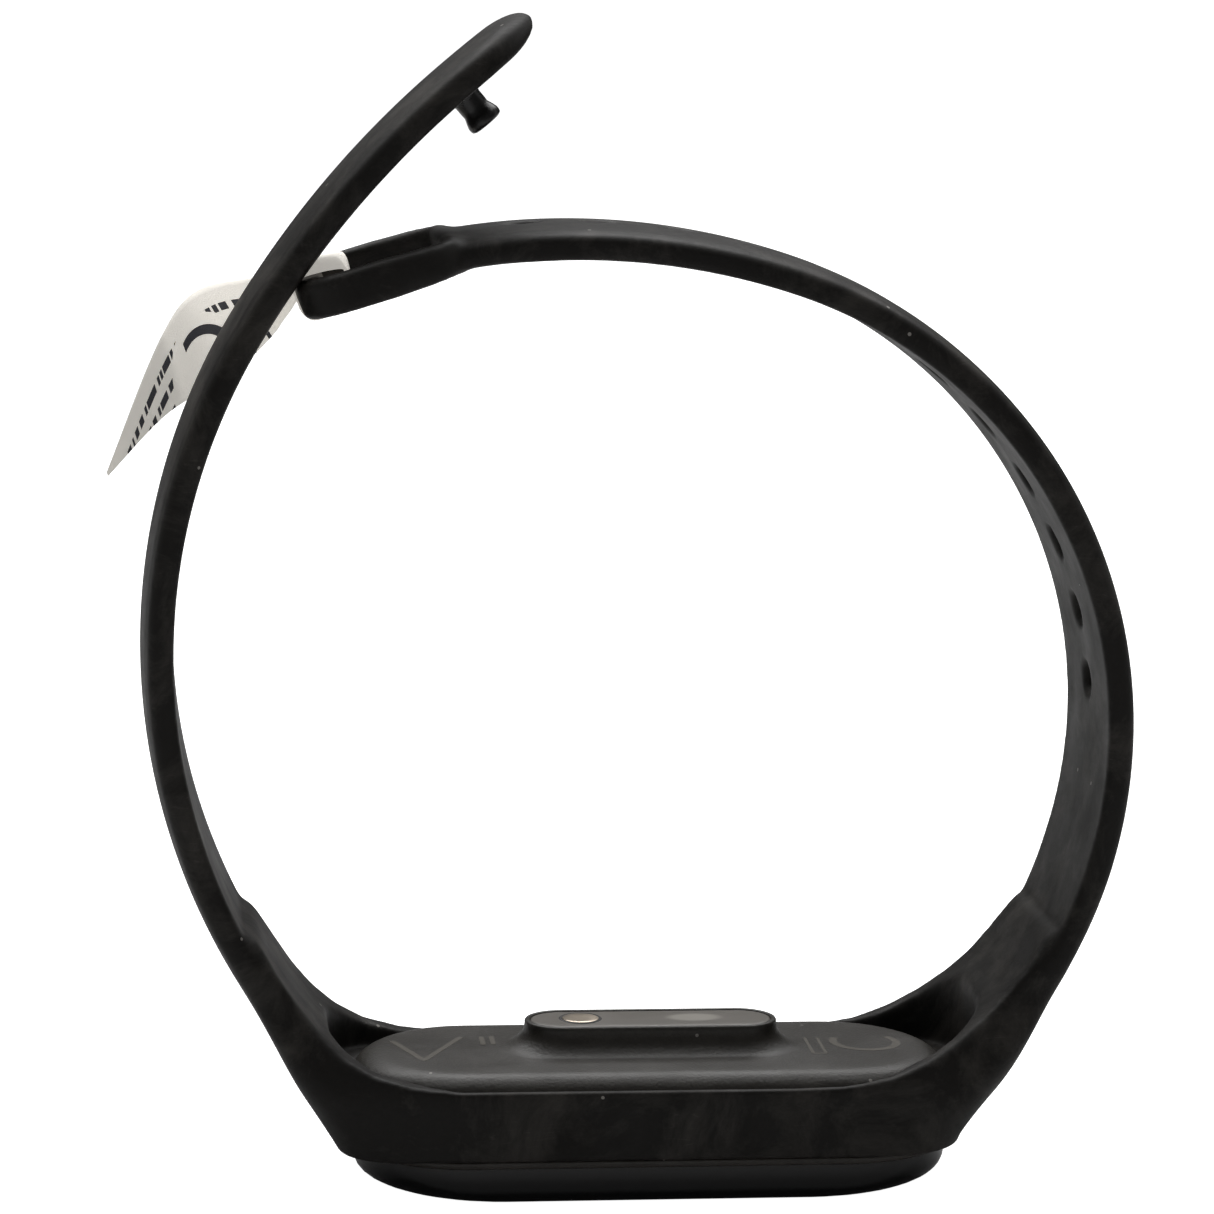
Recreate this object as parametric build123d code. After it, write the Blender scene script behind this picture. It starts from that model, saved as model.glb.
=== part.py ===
"""Fitness tracker band: a capsule tracker in a one-piece moulded strap.

Millimetres. The tracker stands on its display glass. The origin is the centre of the flat
outer face of the glass, +X runs along the capsule towards the loop arm of the strap,
+Y runs across the strap and +Z points through the capsule to the wrist side.
"""

import math
import os

from build123d import *

# ---- tracker capsule: overall sizes ----
capsule_length = 46.4
capsule_width = 18.15
capsule_corner_r = 8.6
capsule_height = 12.45
glass_height = 3.0
glass_edge_r = 1.6
glass_flat_half = capsule_length / 2 - 7.7
glass_end_r = 13.5
glass_thickness = 1.0
panel_length = capsule_length - 9.8
panel_width = 15.0
panel_thickness = 0.9
bond_clearance = 0.2

# ---- front frame, seal and back shell ----
flange_top = 3.65
flange_lip = 0.35
frame_top = 4.6
frame_wall = 1.4
seal_thickness = 0.15
shell_roof = 10.2
shell_wall = 0.9
shell_edge_r = 1.8
island_length = 20.9
island_width = 7.0
island_draft = 0.7
island_top = 12.4
lens_rim = 0.35
lens_thickness = 0.75
lens_clearance = 0.05

# ---- sensing and charging parts ----
wear_contact_d = 2.9
wear_contact_x = -5.5
contact_seal_w = 0.25
stem_d = 1.6
board_thickness = 0.4
window_x = 3.4
led_pitch = 3.1
charge_pad_d = 2.4
charge_pad_x = 3.2
charge_pad_y = 5.9
magnet_d = 4.0
magnet_height = 1.2
magnet_x = 7.6
magnet_y = 5.0

# ---- main board, battery and vibration motor ----
main_board_z = 3.2
main_board_thickness = 0.7
main_board_margin = 0.8
battery_length = 19.0
battery_width = 13.0
battery_height = 3.6
battery_x = capsule_length / 2 - 13.5
motor_d = 8.0
motor_height = 3.0
motor_x = 7.2 - capsule_length / 2
motor_wall = 0.25
motor_pad_thickness = 0.7
rotor_clearance = 0.2
shaft_d = 0.8
shaft_clearance = 0.04

# ---- strap ----
strap_width = 16.0
strap_thickness = 2.4
strap_crown = 0.6
strap_crown_flat = 6.4
strap_crown_r = 14.0
strap_edge_r = 0.55
cradle_fit = 0.05
rail_wall = 0.85
rail_top = 9.1
arm_lean = 59.0
loop_root_x = capsule_length / 2 + 0.1
arm_root_z = 5.6
arm_root_thickness = 6.5
arm_root_run = 12.8
arm_root_sink = 2.5
root_start = -1.6
root_corner_r = 5.0
pocket_reach = 1.9
pocket_half_width = strap_width / 2 - 0.3
# each arm: straight run, then arcs of (radius, degrees)
loop_arcs = [(36.8, 103.0), (53.0, 33.0)]
tail_arcs = [(47.3, 61.0), (74.5, 19.0), (190.0, 4.0)]
loop_straight = 12.8
tail_straight = 14.2
loop_hinges = [20.0, 68.02, 103.4]
tail_hinges = [18.0, 47.0, 76.0]
hinge_step = 0.2
hinge_relief = 0.65
hinge_clearance = 0.10
hole_count = 12
hole_first = 36.45
hole_pitch = 5.74
hole_bore_d = 2.3
hole_mouth_d = 3.0
tail_end = 97.5
tail_tip_r = strap_width / 2 - 0.8

# ---- loop at the end of the loop arm ----
loop_width = strap_width + 4.0
loop_thickness = 3.0
tail_root_x = capsule_length / 2 + (strap_thickness + loop_thickness) / 2 - 1.7
loop_tilt = 197.5
loop_length = 12.7
loop_neck = 1.2
loop_slot_start = 1.6
loop_slot_length = 8.8
loop_slot_width = strap_width + 0.6
loop_corner_r = 4.0
loop_edge_r = 0.6

# ---- stud on the tail ----
stud_at = 89.3
stud_shank_d = 2.0
stud_head_d = 2.45
stud_collar_d = 2.6
stud_length = 2.9
stud_head_height = 1.3
stud_collar_rise = 0.25
stud_root_depth = 1.1

# ---- packing label ----
label_thickness = 0.2
label_gap = 0.1
label_band = 2.9
label_end_gap = 1.0
label_swing = 12.0
label_flag = [
    (0, 1.2), (-7.4, -0.9), (-10.7, -1.4), (-12.8, -3.1),
    (-18.3, -16.3), (-16.4, -14.1), (-13.6, -12.5), (-4.6, -5.8),
]

# ---- derived sizes ----
roof_inner = shell_roof - shell_wall
shell_base = frame_top + seal_thickness
board_top = main_board_z + main_board_thickness
lens_seat = island_top - lens_thickness
half_t = strap_thickness / 2
hinge_r = half_t - hinge_step


def pill(length, width, corner=None):
    """Rounded rectangle; a full round end when no corner is given."""
    r = min(width, length) / 2 - 0.001
    if corner is not None:
        r = min(corner, r)
    return RectangleRounded(length, width, r)


def capsule_outline(grow=0.0):
    """Plan outline of the capsule, grown or shrunk evenly."""
    return pill(
        capsule_length + 2 * grow,
        capsule_width + 2 * grow,
        max(capsule_corner_r + grow, 0.5),
    )


def slab(sketch, z0, z1):
    """Prism of a plan sketch between two heights."""
    return extrude(Pos(0, 0, z0) * sketch, z1 - z0)


def disc(x, y, d, z0, z1):
    return Pos(x, y, (z0 + z1) / 2) * Cylinder(d / 2, z1 - z0)


def block(x, y, lx, ly, z0, z1):
    return Pos(x, y, (z0 + z1) / 2) * Box(lx, ly, z1 - z0)


# ---------------------------------------------------------------- tracker capsule


def display_glass():
    """Cover glass, curved down over its long sides and more over its two ends."""
    body = slab(capsule_outline(), 0, glass_height)
    rim = body.edges().group_by(Axis.Z)[0]
    body = fillet(rim, glass_edge_r)
    half = capsule_length / 2 + 0.3
    rise = glass_end_r - math.sqrt(glass_end_r**2 - (half - glass_flat_half) ** 2)
    mid = half - (half - glass_flat_half) / 2
    mid_rise = glass_end_r - math.sqrt(glass_end_r**2 - (mid - glass_flat_half) ** 2)
    with BuildSketch(Plane.XZ) as side:
        with BuildLine():
            Line((-glass_flat_half, 0), (glass_flat_half, 0))
            ThreePointArc((glass_flat_half, 0), (mid, mid_rise), (half, rise))
            Line((half, rise), (half, glass_height))
            Line((half, glass_height), (-half, glass_height))
            Line((-half, glass_height), (-half, rise))
            ThreePointArc((-half, rise), (-mid, mid_rise), (-glass_flat_half, 0))
        make_face()
    body = body & extrude(side.sketch, capsule_width, both=True)
    pocket = pill(panel_length + bond_clearance, panel_width + bond_clearance, 2.0)
    return body - slab(pocket, glass_thickness, glass_height)


def touch_panel():
    return slab(pill(panel_length, panel_width, 1.9), glass_thickness, glass_thickness + panel_thickness)


def display_tray():
    """Stamped tray behind the panel, with a window for the ribbon."""
    z0 = glass_thickness + panel_thickness
    plate = slab(pill(panel_length - 0.6, panel_width - 0.6, 1.6), z0, z0 + 0.4)
    return plate - block(13.0, 0, 3.4, 8.4, z0, z0 + 0.4)


def display_ribbon():
    """Flexible print from the panel through the tray window to the main board."""
    z0 = glass_thickness + panel_thickness
    foot = block(12.8, 0, 1.6, 7.6, z0, z0 + 0.15)
    rise = block(13.52, 0, 0.16, 7.6, z0, main_board_z)
    head = block(14.4, 0, 1.9, 7.6, main_board_z - 0.15, main_board_z)
    return foot + rise + head


def front_frame():
    """Moulded ring that the glass is bonded to; its flange carries the strap."""
    flange = slab(capsule_outline(flange_lip), glass_height, flange_top)
    wall = slab(capsule_outline(), glass_height, frame_top)
    return flange + wall - slab(capsule_outline(-frame_wall), glass_height, frame_top)


def frame_seal():
    ring = slab(capsule_outline(-0.25), frame_top, shell_base)
    return ring - slab(capsule_outline(-frame_wall + 0.35), frame_top, shell_base)


def island_block():
    """Raised sensor island with drafted sides."""
    height = island_top - shell_roof
    taper = math.degrees(math.atan(island_draft / height))
    base = Pos(0, 0, shell_roof) * pill(island_length, island_width)
    return extrude(base, height, taper=taper)


def lens_outline(clear=0.0):
    length = island_length - 2 * (island_draft + lens_rim - clear)
    width = island_width - 2 * (island_draft + lens_rim - clear)
    return pill(length, width)


def back_shell():
    """Wrist-side shell: a cup with the sensor island on its roof."""
    body = slab(capsule_outline(), shell_base, shell_roof)
    body = fillet(body.edges().group_by(Axis.Z)[-1], shell_edge_r)
    body = body + island_block()
    body -= slab(capsule_outline(-shell_wall), shell_base, roof_inner)
    body -= slab(lens_outline(-0.35), roof_inner, lens_seat)
    body -= slab(lens_outline(lens_clearance), lens_seat, island_top)
    for side in (-1, 1):
        body -= disc(side * charge_pad_x, charge_pad_y, charge_pad_d, roof_inner, shell_roof)
    return body


def sensor_lens():
    lens = slab(lens_outline(), lens_seat, island_top)
    hole = wear_contact_d + 2 * contact_seal_w
    return lens - disc(wear_contact_x, 0, hole, lens_seat, island_top)


def wear_contact():
    """Metal button in the lens, on a stem that stands on the sensor board."""
    cap = disc(wear_contact_x, 0, wear_contact_d, lens_seat - 0.2, capsule_height)
    cap = chamfer(cap.edges().group_by(Axis.Z)[-1], 0.12)
    stem = disc(wear_contact_x, 0, stem_d, sensor_board_top(), lens_seat - 0.2)
    return cap + stem


def contact_seal():
    outer = disc(wear_contact_x, 0, wear_contact_d + 2 * contact_seal_w, lens_seat, island_top - 0.2)
    return outer - disc(wear_contact_x, 0, wear_contact_d, lens_seat, island_top - 0.2)


def sensor_board_top():
    return roof_inner + 0.3 + board_thickness


def sensor_board():
    top = sensor_board_top()
    return slab(lens_outline(-0.5), top - board_thickness, top)


def green_led(side):
    top = sensor_board_top()
    return block(window_x + side * led_pitch, 0, 1.3, 1.6, top, top + 0.7)


def photodiode():
    top = sensor_board_top()
    return block(window_x, 0, 2.2, 2.2, top, top + 0.6)


def light_shroud():
    """Black moulding that keeps the light of each diode apart."""
    top = sensor_board_top()
    body = block(window_x, 0, 9.2, 3.2, top, lens_seat)
    body -= block(window_x, 0, 2.6, 2.5, top, lens_seat)
    for side in (-1, 1):
        body -= block(window_x + side * led_pitch, 0, 1.7, 2.0, top, lens_seat)
    return body


def sensor_ribbon():
    """Flexible print from the sensor board down to the main board."""
    z1 = sensor_board_top() - board_thickness
    drop = block(-8.6, 0, 0.15, 2.6, board_top, z1)
    foot = block(-9.2, 0, 1.35, 2.6, board_top, board_top + 0.15)
    head = block(-8.0, 0, 1.35, 2.6, z1 - 0.15, z1)
    return drop + foot + head


def charge_pad(side):
    return disc(side * charge_pad_x, charge_pad_y, charge_pad_d, roof_inner, shell_roof + 0.05)


def charge_ribbon():
    return block(0, charge_pad_y, 2 * charge_pad_x + 2.6, 2.4, roof_inner - 0.15, roof_inner)


def charge_magnet(side):
    return disc(side * magnet_x, magnet_y, magnet_d, roof_inner - magnet_height, roof_inner)


def main_board():
    sketch = capsule_outline(-frame_wall - main_board_margin)
    return slab(sketch, main_board_z, board_top)


def processor_chip():
    return block(-5.6, -2.6, 5.2, 5.2, board_top, board_top + 0.9)


def radio_shield():
    """Folded tin can over the radio part, open towards the board."""
    can = block(-4.9, 3.9, 7.4, 5.0, board_top, board_top + 1.3)
    return can - block(-4.9, 3.9, 7.0, 4.6, board_top, board_top + 1.15)


def radio_chip():
    return block(-4.9, 3.9, 3.0, 3.0, board_top, board_top + 0.8)


def motion_sensor():
    return block(-11.0, 4.9, 2.2, 2.5, board_top, board_top + 0.8)


def battery_cell():
    z0 = board_top + 0.35
    cell = block(battery_x, 0, battery_length, battery_width, z0, z0 + battery_height)
    return fillet(cell.edges().filter_by(Axis.X), 1.1)


def battery_foam():
    z0 = board_top + 0.35 + battery_height
    return block(battery_x, -2.4, 13.0, 7.0, z0, roof_inner)


def battery_tab():
    """Nickel tabs from the cell down to the main board."""
    x = battery_x - battery_length / 2
    tab = block(x - 0.45, 0, 0.9, 3.0, board_top + 0.8, board_top + 0.95)
    return tab + block(x - 0.83, 0, 0.15, 3.0, board_top, board_top + 0.95)


def antenna_strip():
    """Antenna foil on the inside of the long wall."""
    y = capsule_width / 2 - shell_wall - 0.12
    return block(-1.0, y, 24.0, 0.2, shell_base + 0.6, roof_inner - 0.6)


def motor_pad():
    return disc(motor_x, 0, motor_d - 1.0, board_top, board_top + motor_pad_thickness)


def motor_base():
    """Base plate of the coin motor with its fixed shaft."""
    z0 = board_top + motor_pad_thickness
    plate = disc(motor_x, 0, motor_d, z0, z0 + motor_wall)
    return plate + disc(motor_x, 0, shaft_d, z0 + motor_wall, z0 + motor_height - motor_wall)


def motor_can():
    z0 = board_top + motor_pad_thickness + motor_wall
    z1 = board_top + motor_pad_thickness + motor_height
    can = disc(motor_x, 0, motor_d, z0, z1)
    can -= disc(motor_x, 0, motor_d - 2 * motor_wall, z0, z1 - motor_wall)
    return can


def motor_weight():
    """Half-round eccentric weight that turns on the shaft."""
    z0 = board_top + motor_pad_thickness + motor_wall + rotor_clearance
    z1 = board_top + motor_pad_thickness + motor_height - motor_wall - rotor_clearance
    r = motor_d / 2 - motor_wall - rotor_clearance
    weight = disc(motor_x, 0, 2 * r, z0, z1)
    weight -= block(motor_x - r, 0, 2 * r, 4 * r, z0, z1)
    weight += disc(motor_x, 0, shaft_d + 1.4, z0, z1)
    return weight - disc(motor_x, 0, shaft_d + 2 * shaft_clearance, z0, z1)


# ---------------------------------------------------------------- strap path


class Arm:
    """Mid-surface line of one strap arm, made of a straight run and tangent arcs."""

    def __init__(self, side, root_x, straight, arcs):
        self.side = side
        self.spans = []
        s, x, z, a = -arm_root_sink, root_x, arm_root_z, math.radians(arm_lean)
        x -= arm_root_sink * math.cos(a)
        z -= arm_root_sink * math.sin(a)
        run = straight + arm_root_sink
        self.spans.append((s, s + run, x, z, a, None))
        x += run * math.cos(a)
        z += run * math.sin(a)
        s += run
        for radius, degrees in arcs:
            run = radius * math.radians(degrees)
            self.spans.append((s, s + run, x, z, a, radius))
            cx, cz = x - radius * math.sin(a), z + radius * math.cos(a)
            a += run / radius
            x, z = cx + radius * math.sin(a), cz - radius * math.cos(a)
            s += run

    def at(self, s):
        """Point (x, z) and heading at distance s; the last span carries on."""
        span = self.spans[0]
        for later in self.spans[1:]:
            if later[0] <= s + 1e-9:
                span = later
        s0, _, x, z, a, radius = span
        if radius is None:
            return self.side * (x + (s - s0) * math.cos(a)), z + (s - s0) * math.sin(a), a
        turn = (s - s0) / radius
        cx, cz = x - radius * math.sin(a), z + radius * math.cos(a)
        return self.side * (cx + radius * math.sin(a + turn)), cz - radius * math.cos(a + turn), a + turn

    def plane(self, s):
        """Section plane: local x across the strap, local y outward."""
        x, z, a = self.at(s)
        tangent = (self.side * math.cos(a), 0, math.sin(a))
        return Plane(origin=(x, 0, z), x_dir=(0, -self.side, 0), z_dir=tangent)

    def sweep(self, s0, s1):
        """Strap of the constant section from s0 to s1."""
        parts = []
        for b0, b1, x, z, a, radius in self.spans:
            last = (b0, b1, x, z, a, radius) == self.spans[-1]
            lo, hi = max(s0, b0), s1 if last else min(s1, b1)
            if hi - lo < 1e-6:
                continue
            face = self.plane(lo) * strap_section()
            if radius is None:
                parts.append(extrude(face, hi - lo))
                continue
            cx, cz = x - radius * math.sin(a), z + radius * math.cos(a)
            axis = Axis((self.side * cx, 0, cz), (0, -self.side, 0))
            parts.append(revolve(face, axis, math.degrees((hi - lo) / radius)))
        whole = parts[0]
        for part in parts[1:]:
            whole = whole + part
        return whole

    def knuckle(self, s, r):
        """Cylinder on the bend line at s."""
        x, z, _ = self.at(s)
        return Pos(x, 0, z) * Rot(90, 0, 0) * Cylinder(r, 2 * capsule_width)

    def prism(self, s, sketch, low, high):
        """Prism of a sketch (x along the arm, y across) square to the strap at s."""
        x, z, a = self.at(s)
        along = (self.side * math.cos(a), 0, math.sin(a))
        outward = (self.side * math.sin(a), 0, -math.cos(a))
        base = Plane(origin=(x, 0, z), x_dir=along, z_dir=outward)
        return extrude(base.offset(low) * sketch, high - low)


def strap_section(width=strap_width, thickness=strap_thickness):
    """Strap section: flat inner face, crowned outer face, rounded edges."""
    w = width / 2
    inner = half_t - thickness
    edge = half_t - strap_crown
    top = strap_crown_flat / 2
    with BuildSketch() as sk:
        with BuildLine():
            right = [(w, inner), (w, edge), (top, half_t)]
            left = [(-x, y) for x, y in reversed(right)]
            Polyline(*right, *left, close=True)
        make_face()
        crown = sk.vertices().sort_by(Axis.Y)[-2:]
        fillet(crown, strap_crown_r)
        fillet([v for v in sk.vertices() if abs(v.X) > w - 0.01], strap_edge_r)
    return sk.sketch


loop_arm = Arm(1, loop_root_x, loop_straight, loop_arcs)
tail_arm = Arm(-1, tail_root_x, tail_straight, tail_arcs)


def end_cutter(arm, s):
    """Everything past the bend line at s that lies outside the round knuckle."""
    beyond = Pos(4, 0) * Rectangle(8, 3 * strap_width)
    return arm.prism(s, beyond, -6, 6) - arm.knuckle(s, hinge_r)


def arm_piece(arm, s0, s1, open_end=False):
    """One bending length of an arm: hollow end at s0, round knuckle at s1."""
    if open_end:
        body = arm.sweep(s0 + hinge_relief, s1)
    else:
        body = arm.sweep(s0 + hinge_relief, s1 + hinge_r) - end_cutter(arm, s1)
    return body - arm.knuckle(s0, hinge_r + hinge_clearance)


def arm_root(arm, hinge):
    """Thick root of an arm where it leaves the cradle, up to its first bend line."""
    wide = capsule_width + 2 * (rail_wall + cradle_fit)
    low = arm.plane(-arm_root_sink) * strap_section(wide, arm_root_thickness)
    high = arm.plane(arm_root_run) * strap_section()
    root = loft([low.faces()[0], high.faces()[0]], ruled=True)
    root = root + (arm.sweep(arm_root_run, hinge + hinge_r) - end_cutter(arm, hinge))
    skirt = Pos(30, 0) * RectangleRounded(60, wide - 0.002, root_corner_r)
    return root & arm.prism(root_start, skirt, -12, 12)


def strap_cradle():
    """Frame of the strap that grips the capsule, with the roots of both arms."""
    base = flange_top + cradle_fit
    ring = slab(capsule_outline(rail_wall + cradle_fit), base, rail_top)
    ring = fillet(ring.edges().group_by(Axis.Z)[-1], 0.35)
    body = ring + arm_root(loop_arm, loop_hinges[0]) + arm_root(tail_arm, tail_hinges[0])
    body -= slab(pill(80, 40, 1), -20, base)
    body -= slab(capsule_outline(cradle_fit), 0, rail_top + 12)
    pocket = pill(capsule_length + 2 * pocket_reach, 2 * pocket_half_width, 5.0)
    return body - slab(pocket, rail_top, rail_top + 12)


def strap_holes(s0, s1):
    """Adjustment holes of the loop arm between two bend lines, countersunk on both faces."""
    tools = []
    depth = (hole_mouth_d - hole_bore_d) / 2
    for k in range(hole_count):
        s = hole_first + k * hole_pitch
        if not s0 < s < s1:
            continue
        bore = loop_arm.prism(s, Circle(hole_bore_d / 2), -4, 4)
        for face in (-1, 1):
            x, z, a = loop_arm.at(s)
            out = (face * math.sin(a), 0, -face * math.cos(a))
            mouth = Plane(origin=(x, 0, z), x_dir=(0, 1, 0), z_dir=out).offset(half_t - depth)
            cone = extrude(mouth * Circle(hole_bore_d / 2), 2 * depth, taper=-45)
            bore = bore + cone
        tools.append(bore)
    return tools


def loop_strap(index):
    s0, s1 = loop_hinges[index], loop_hinges[index + 1]
    body = arm_piece(loop_arm, s0, s1)
    for tool in strap_holes(s0, s1):
        body = body - tool
    return body


def loop_plane():
    """Mid plane of the flat loop: local x towards its tip, local z outward."""
    x, z, _ = loop_arm.at(loop_hinges[-1] + loop_neck)
    a = math.radians(loop_tilt)
    return Plane(origin=(x, 0, z), x_dir=(math.cos(a), 0, math.sin(a)), z_dir=(math.sin(a), 0, -math.cos(a)))


def strap_loop():
    """Flat frame that the tail passes through."""
    frame = loop_plane()
    outline = Pos(loop_length / 2, 0) * RectangleRounded(loop_length, loop_width, loop_corner_r)
    plate = extrude(frame.offset(-loop_thickness / 2) * outline, loop_thickness)
    slot = Pos(loop_slot_start + loop_slot_length / 2, 0) * RectangleRounded(
        loop_slot_length, loop_slot_width, 1.4
    )
    plate = plate - extrude(frame.offset(-4) * slot, 8)
    faces = [f for f in plate.faces() if abs(f.normal_at().dot(frame.z_dir)) > 0.99]
    rims = ShapeList([e for f in faces for e in f.edges()])
    plate = fillet(rims, loop_edge_r)
    neck = loop_arm.sweep(loop_hinges[-1] + hinge_relief, loop_hinges[-1] + loop_neck + 1.0)
    return plate + neck - loop_arm.knuckle(loop_hinges[-1], hinge_r + hinge_clearance)


def tail_strap(index):
    return arm_piece(tail_arm, tail_hinges[index], tail_hinges[index + 1])


def tail_tip():
    """Rounded end of the tail with the seat of the stud."""
    s0 = tail_hinges[-1]
    body = arm_piece(tail_arm, s0, tail_end, open_end=True)
    back = 40.0
    tip = Pos(-back / 2, 0) * RectangleRounded(back, strap_width - 0.001, tail_tip_r)
    body = body & tail_arm.prism(tail_end, tip, -12, 12)
    seat = tail_arm.prism(stud_at, Circle(stud_collar_d / 2), -half_t - 1, -half_t + stud_root_depth)
    return body - seat


def fastening_stud():
    """Peg pressed into the tail; its domed head snaps through a strap hole."""
    foot = half_t - stud_root_depth
    face = half_t + stud_collar_rise
    tip = half_t + stud_length
    collar = disc(0, 0, stud_collar_d, foot, face)
    shank = disc(0, 0, stud_shank_d, face - 0.1, tip - stud_head_height / 2)
    head = disc(0, 0, stud_head_d, tip - stud_head_height, tip)
    head = fillet(head.edges().group_by(Axis.Z)[-1], stud_head_d * 0.4)
    head = chamfer(head.edges().group_by(Axis.Z)[0], 0.15)
    x, z, a = tail_arm.at(stud_at)
    inward = (math.sin(a), 0, math.cos(a))
    place = Plane(origin=(x, 0, z), x_dir=(0, 1, 0), z_dir=inward).location
    return place * (collar + shank + head)


def packing_label():
    """Paper band round the far rail of the loop, with a flag that hangs behind the tail."""
    frame = loop_plane()
    rail_in = loop_slot_width / 2 - label_gap
    rail_out = loop_width / 2 + label_gap
    rail_h = loop_thickness / 2 + label_gap
    t = label_thickness
    mid = (rail_in + rail_out) / 2
    wide = rail_out - rail_in
    start = loop_slot_start + loop_slot_length - label_band - label_end_gap
    outer = frame.location * Pos(start + label_band / 2, mid * label_side(), 0) * Box(
        label_band, wide + 2 * t, 2 * rail_h + 2 * t)
    inner = frame.location * Pos(start + label_band / 2, mid * label_side(), 0) * Box(
        label_band, wide, 2 * rail_h)
    x, z, _ = loop_arm.at(loop_hinges[-1] + loop_neck)
    a = math.radians(loop_tilt)
    px = x + (start + label_band) * math.cos(a)
    pz = z + (start + label_band) * math.sin(a)
    flag = extrude(make_face(Plane.XZ * Polyline(*label_flag, close=True)), t)
    flag = Pos(px, rail_out + t, pz) * Rot(0, 0, -label_swing) * flag
    return outer - inner + flag


def label_side():
    """Sign of the local y that points to the far rail."""
    return 1 if loop_plane().y_dir.Y > 0 else -1


pieces = {
    "display_glass": display_glass,
    "touch_panel": touch_panel,
    "display_tray": display_tray,
    "display_ribbon": display_ribbon,
    "front_frame": front_frame,
    "frame_seal": frame_seal,
    "back_shell": back_shell,
    "sensor_lens": sensor_lens,
    "wear_contact": wear_contact,
    "contact_seal": contact_seal,
    "sensor_board": sensor_board,
    "green_led_inner": lambda: green_led(-1),
    "green_led_outer": lambda: green_led(1),
    "photodiode": photodiode,
    "light_shroud": light_shroud,
    "sensor_ribbon": sensor_ribbon,
    "charge_pad_left": lambda: charge_pad(-1),
    "charge_pad_right": lambda: charge_pad(1),
    "charge_ribbon": charge_ribbon,
    "charge_magnet_left": lambda: charge_magnet(-1),
    "charge_magnet_right": lambda: charge_magnet(1),
    "main_board": main_board,
    "processor_chip": processor_chip,
    "radio_shield": radio_shield,
    "radio_chip": radio_chip,
    "motion_sensor": motion_sensor,
    "battery_cell": battery_cell,
    "battery_foam": battery_foam,
    "battery_tab": battery_tab,
    "antenna_strip": antenna_strip,
    "motor_pad": motor_pad,
    "motor_base": motor_base,
    "motor_can": motor_can,
    "motor_weight": motor_weight,
    "strap_cradle": strap_cradle,
    "tail_strap_lower": lambda: tail_strap(0),
    "tail_strap_upper": lambda: tail_strap(1),
    "tail_strap_tip": tail_tip,
    "fastening_stud": fastening_stud,
    "loop_strap_lower": lambda: loop_strap(0),
    "loop_strap_upper": lambda: loop_strap(1),
    "strap_loop": strap_loop,
    "packing_label": packing_label,
}

os.makedirs("parts", exist_ok=True)
for name, make in pieces.items():
    shape = make()
    export_step(shape, f"parts/{name}.step")
    box = shape.bounding_box()
    print(f"{name:20s} solids {len(shape.solids())} volume {shape.volume:9.2f} "
          f"box {box.min.X:.2f} {box.min.Y:.2f} {box.min.Z:.2f} {box.max.X:.2f} {box.max.Y:.2f} {box.max.Z:.2f}")
for label, arm, stations in (("loop", loop_arm, loop_hinges), ("tail", tail_arm, tail_hinges)):
    for s in stations:
        x, z, a = arm.at(s)
        print(f"{label} bend line at {s}: x {x:.4f} z {z:.4f} heading {math.degrees(a):.2f}")
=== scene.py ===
import bpy
import math
import numpy as np
from mathutils import Matrix, Vector


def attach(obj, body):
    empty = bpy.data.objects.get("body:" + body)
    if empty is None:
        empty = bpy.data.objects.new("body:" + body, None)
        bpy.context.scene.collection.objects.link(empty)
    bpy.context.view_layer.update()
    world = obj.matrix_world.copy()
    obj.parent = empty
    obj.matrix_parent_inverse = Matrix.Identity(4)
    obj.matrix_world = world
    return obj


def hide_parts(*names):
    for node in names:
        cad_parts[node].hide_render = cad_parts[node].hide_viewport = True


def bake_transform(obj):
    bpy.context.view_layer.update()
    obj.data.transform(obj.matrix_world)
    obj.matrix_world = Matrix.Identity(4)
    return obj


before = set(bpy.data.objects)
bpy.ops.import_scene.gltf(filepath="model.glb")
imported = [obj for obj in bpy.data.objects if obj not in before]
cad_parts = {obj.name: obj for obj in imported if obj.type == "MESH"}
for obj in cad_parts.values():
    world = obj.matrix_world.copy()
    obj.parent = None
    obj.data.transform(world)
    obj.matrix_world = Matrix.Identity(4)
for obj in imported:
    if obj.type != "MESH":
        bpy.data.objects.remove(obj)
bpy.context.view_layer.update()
mm = 0.001


# ------------------------------------------------------------------ strap
# One piece of matt black elastomer, compression moulded: a cradle that grips the capsule by
# stretch alone, a tail arm that carries the stud, and a holed arm that ends in a flat loop. Its
# faces keep the mould's fine spark grain, and handling leaves a pale film and some dust on them.
def node(tree, kind, feeds=None, **settings):
    """One node; feeds maps an input's name or number to a value, or to the socket or node that drives it."""
    made = tree.nodes.new(kind)
    for key, value in settings.items():
        setattr(made, key, value)
    for key, value in (feeds or {}).items():
        if isinstance(value, bpy.types.Node):
            value = value.outputs[0]
        if isinstance(value, bpy.types.NodeSocket):
            tree.links.new(value, made.inputs[key])
        else:
            made.inputs[key].default_value = value
    return made


def maths(tree, operation, *terms):
    """A Math node; each term is a value, a socket or a node."""
    return node(tree, "ShaderNodeMath", dict(enumerate(terms)), operation=operation)


def new_group(name, kind, ins, outs):
    """An empty node group with its named sockets, and the nodes that carry them."""
    tree = bpy.data.node_groups.new(name, kind)
    for label, (socket, value) in ins.items():
        made = tree.interface.new_socket(label, in_out="INPUT", socket_type=socket)
        if value is not None:
            made.default_value = value
    for label, socket in outs.items():
        tree.interface.new_socket(label, in_out="OUTPUT", socket_type=socket)
    return tree, tree.nodes.new("NodeGroupInput").outputs, tree.nodes.new("NodeGroupOutput").inputs


FLOAT, VECTOR = "NodeSocketFloat", "NodeSocketVector"

# moulded grain: a fine bump with a slow swell under it, and its height as a mask

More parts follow.
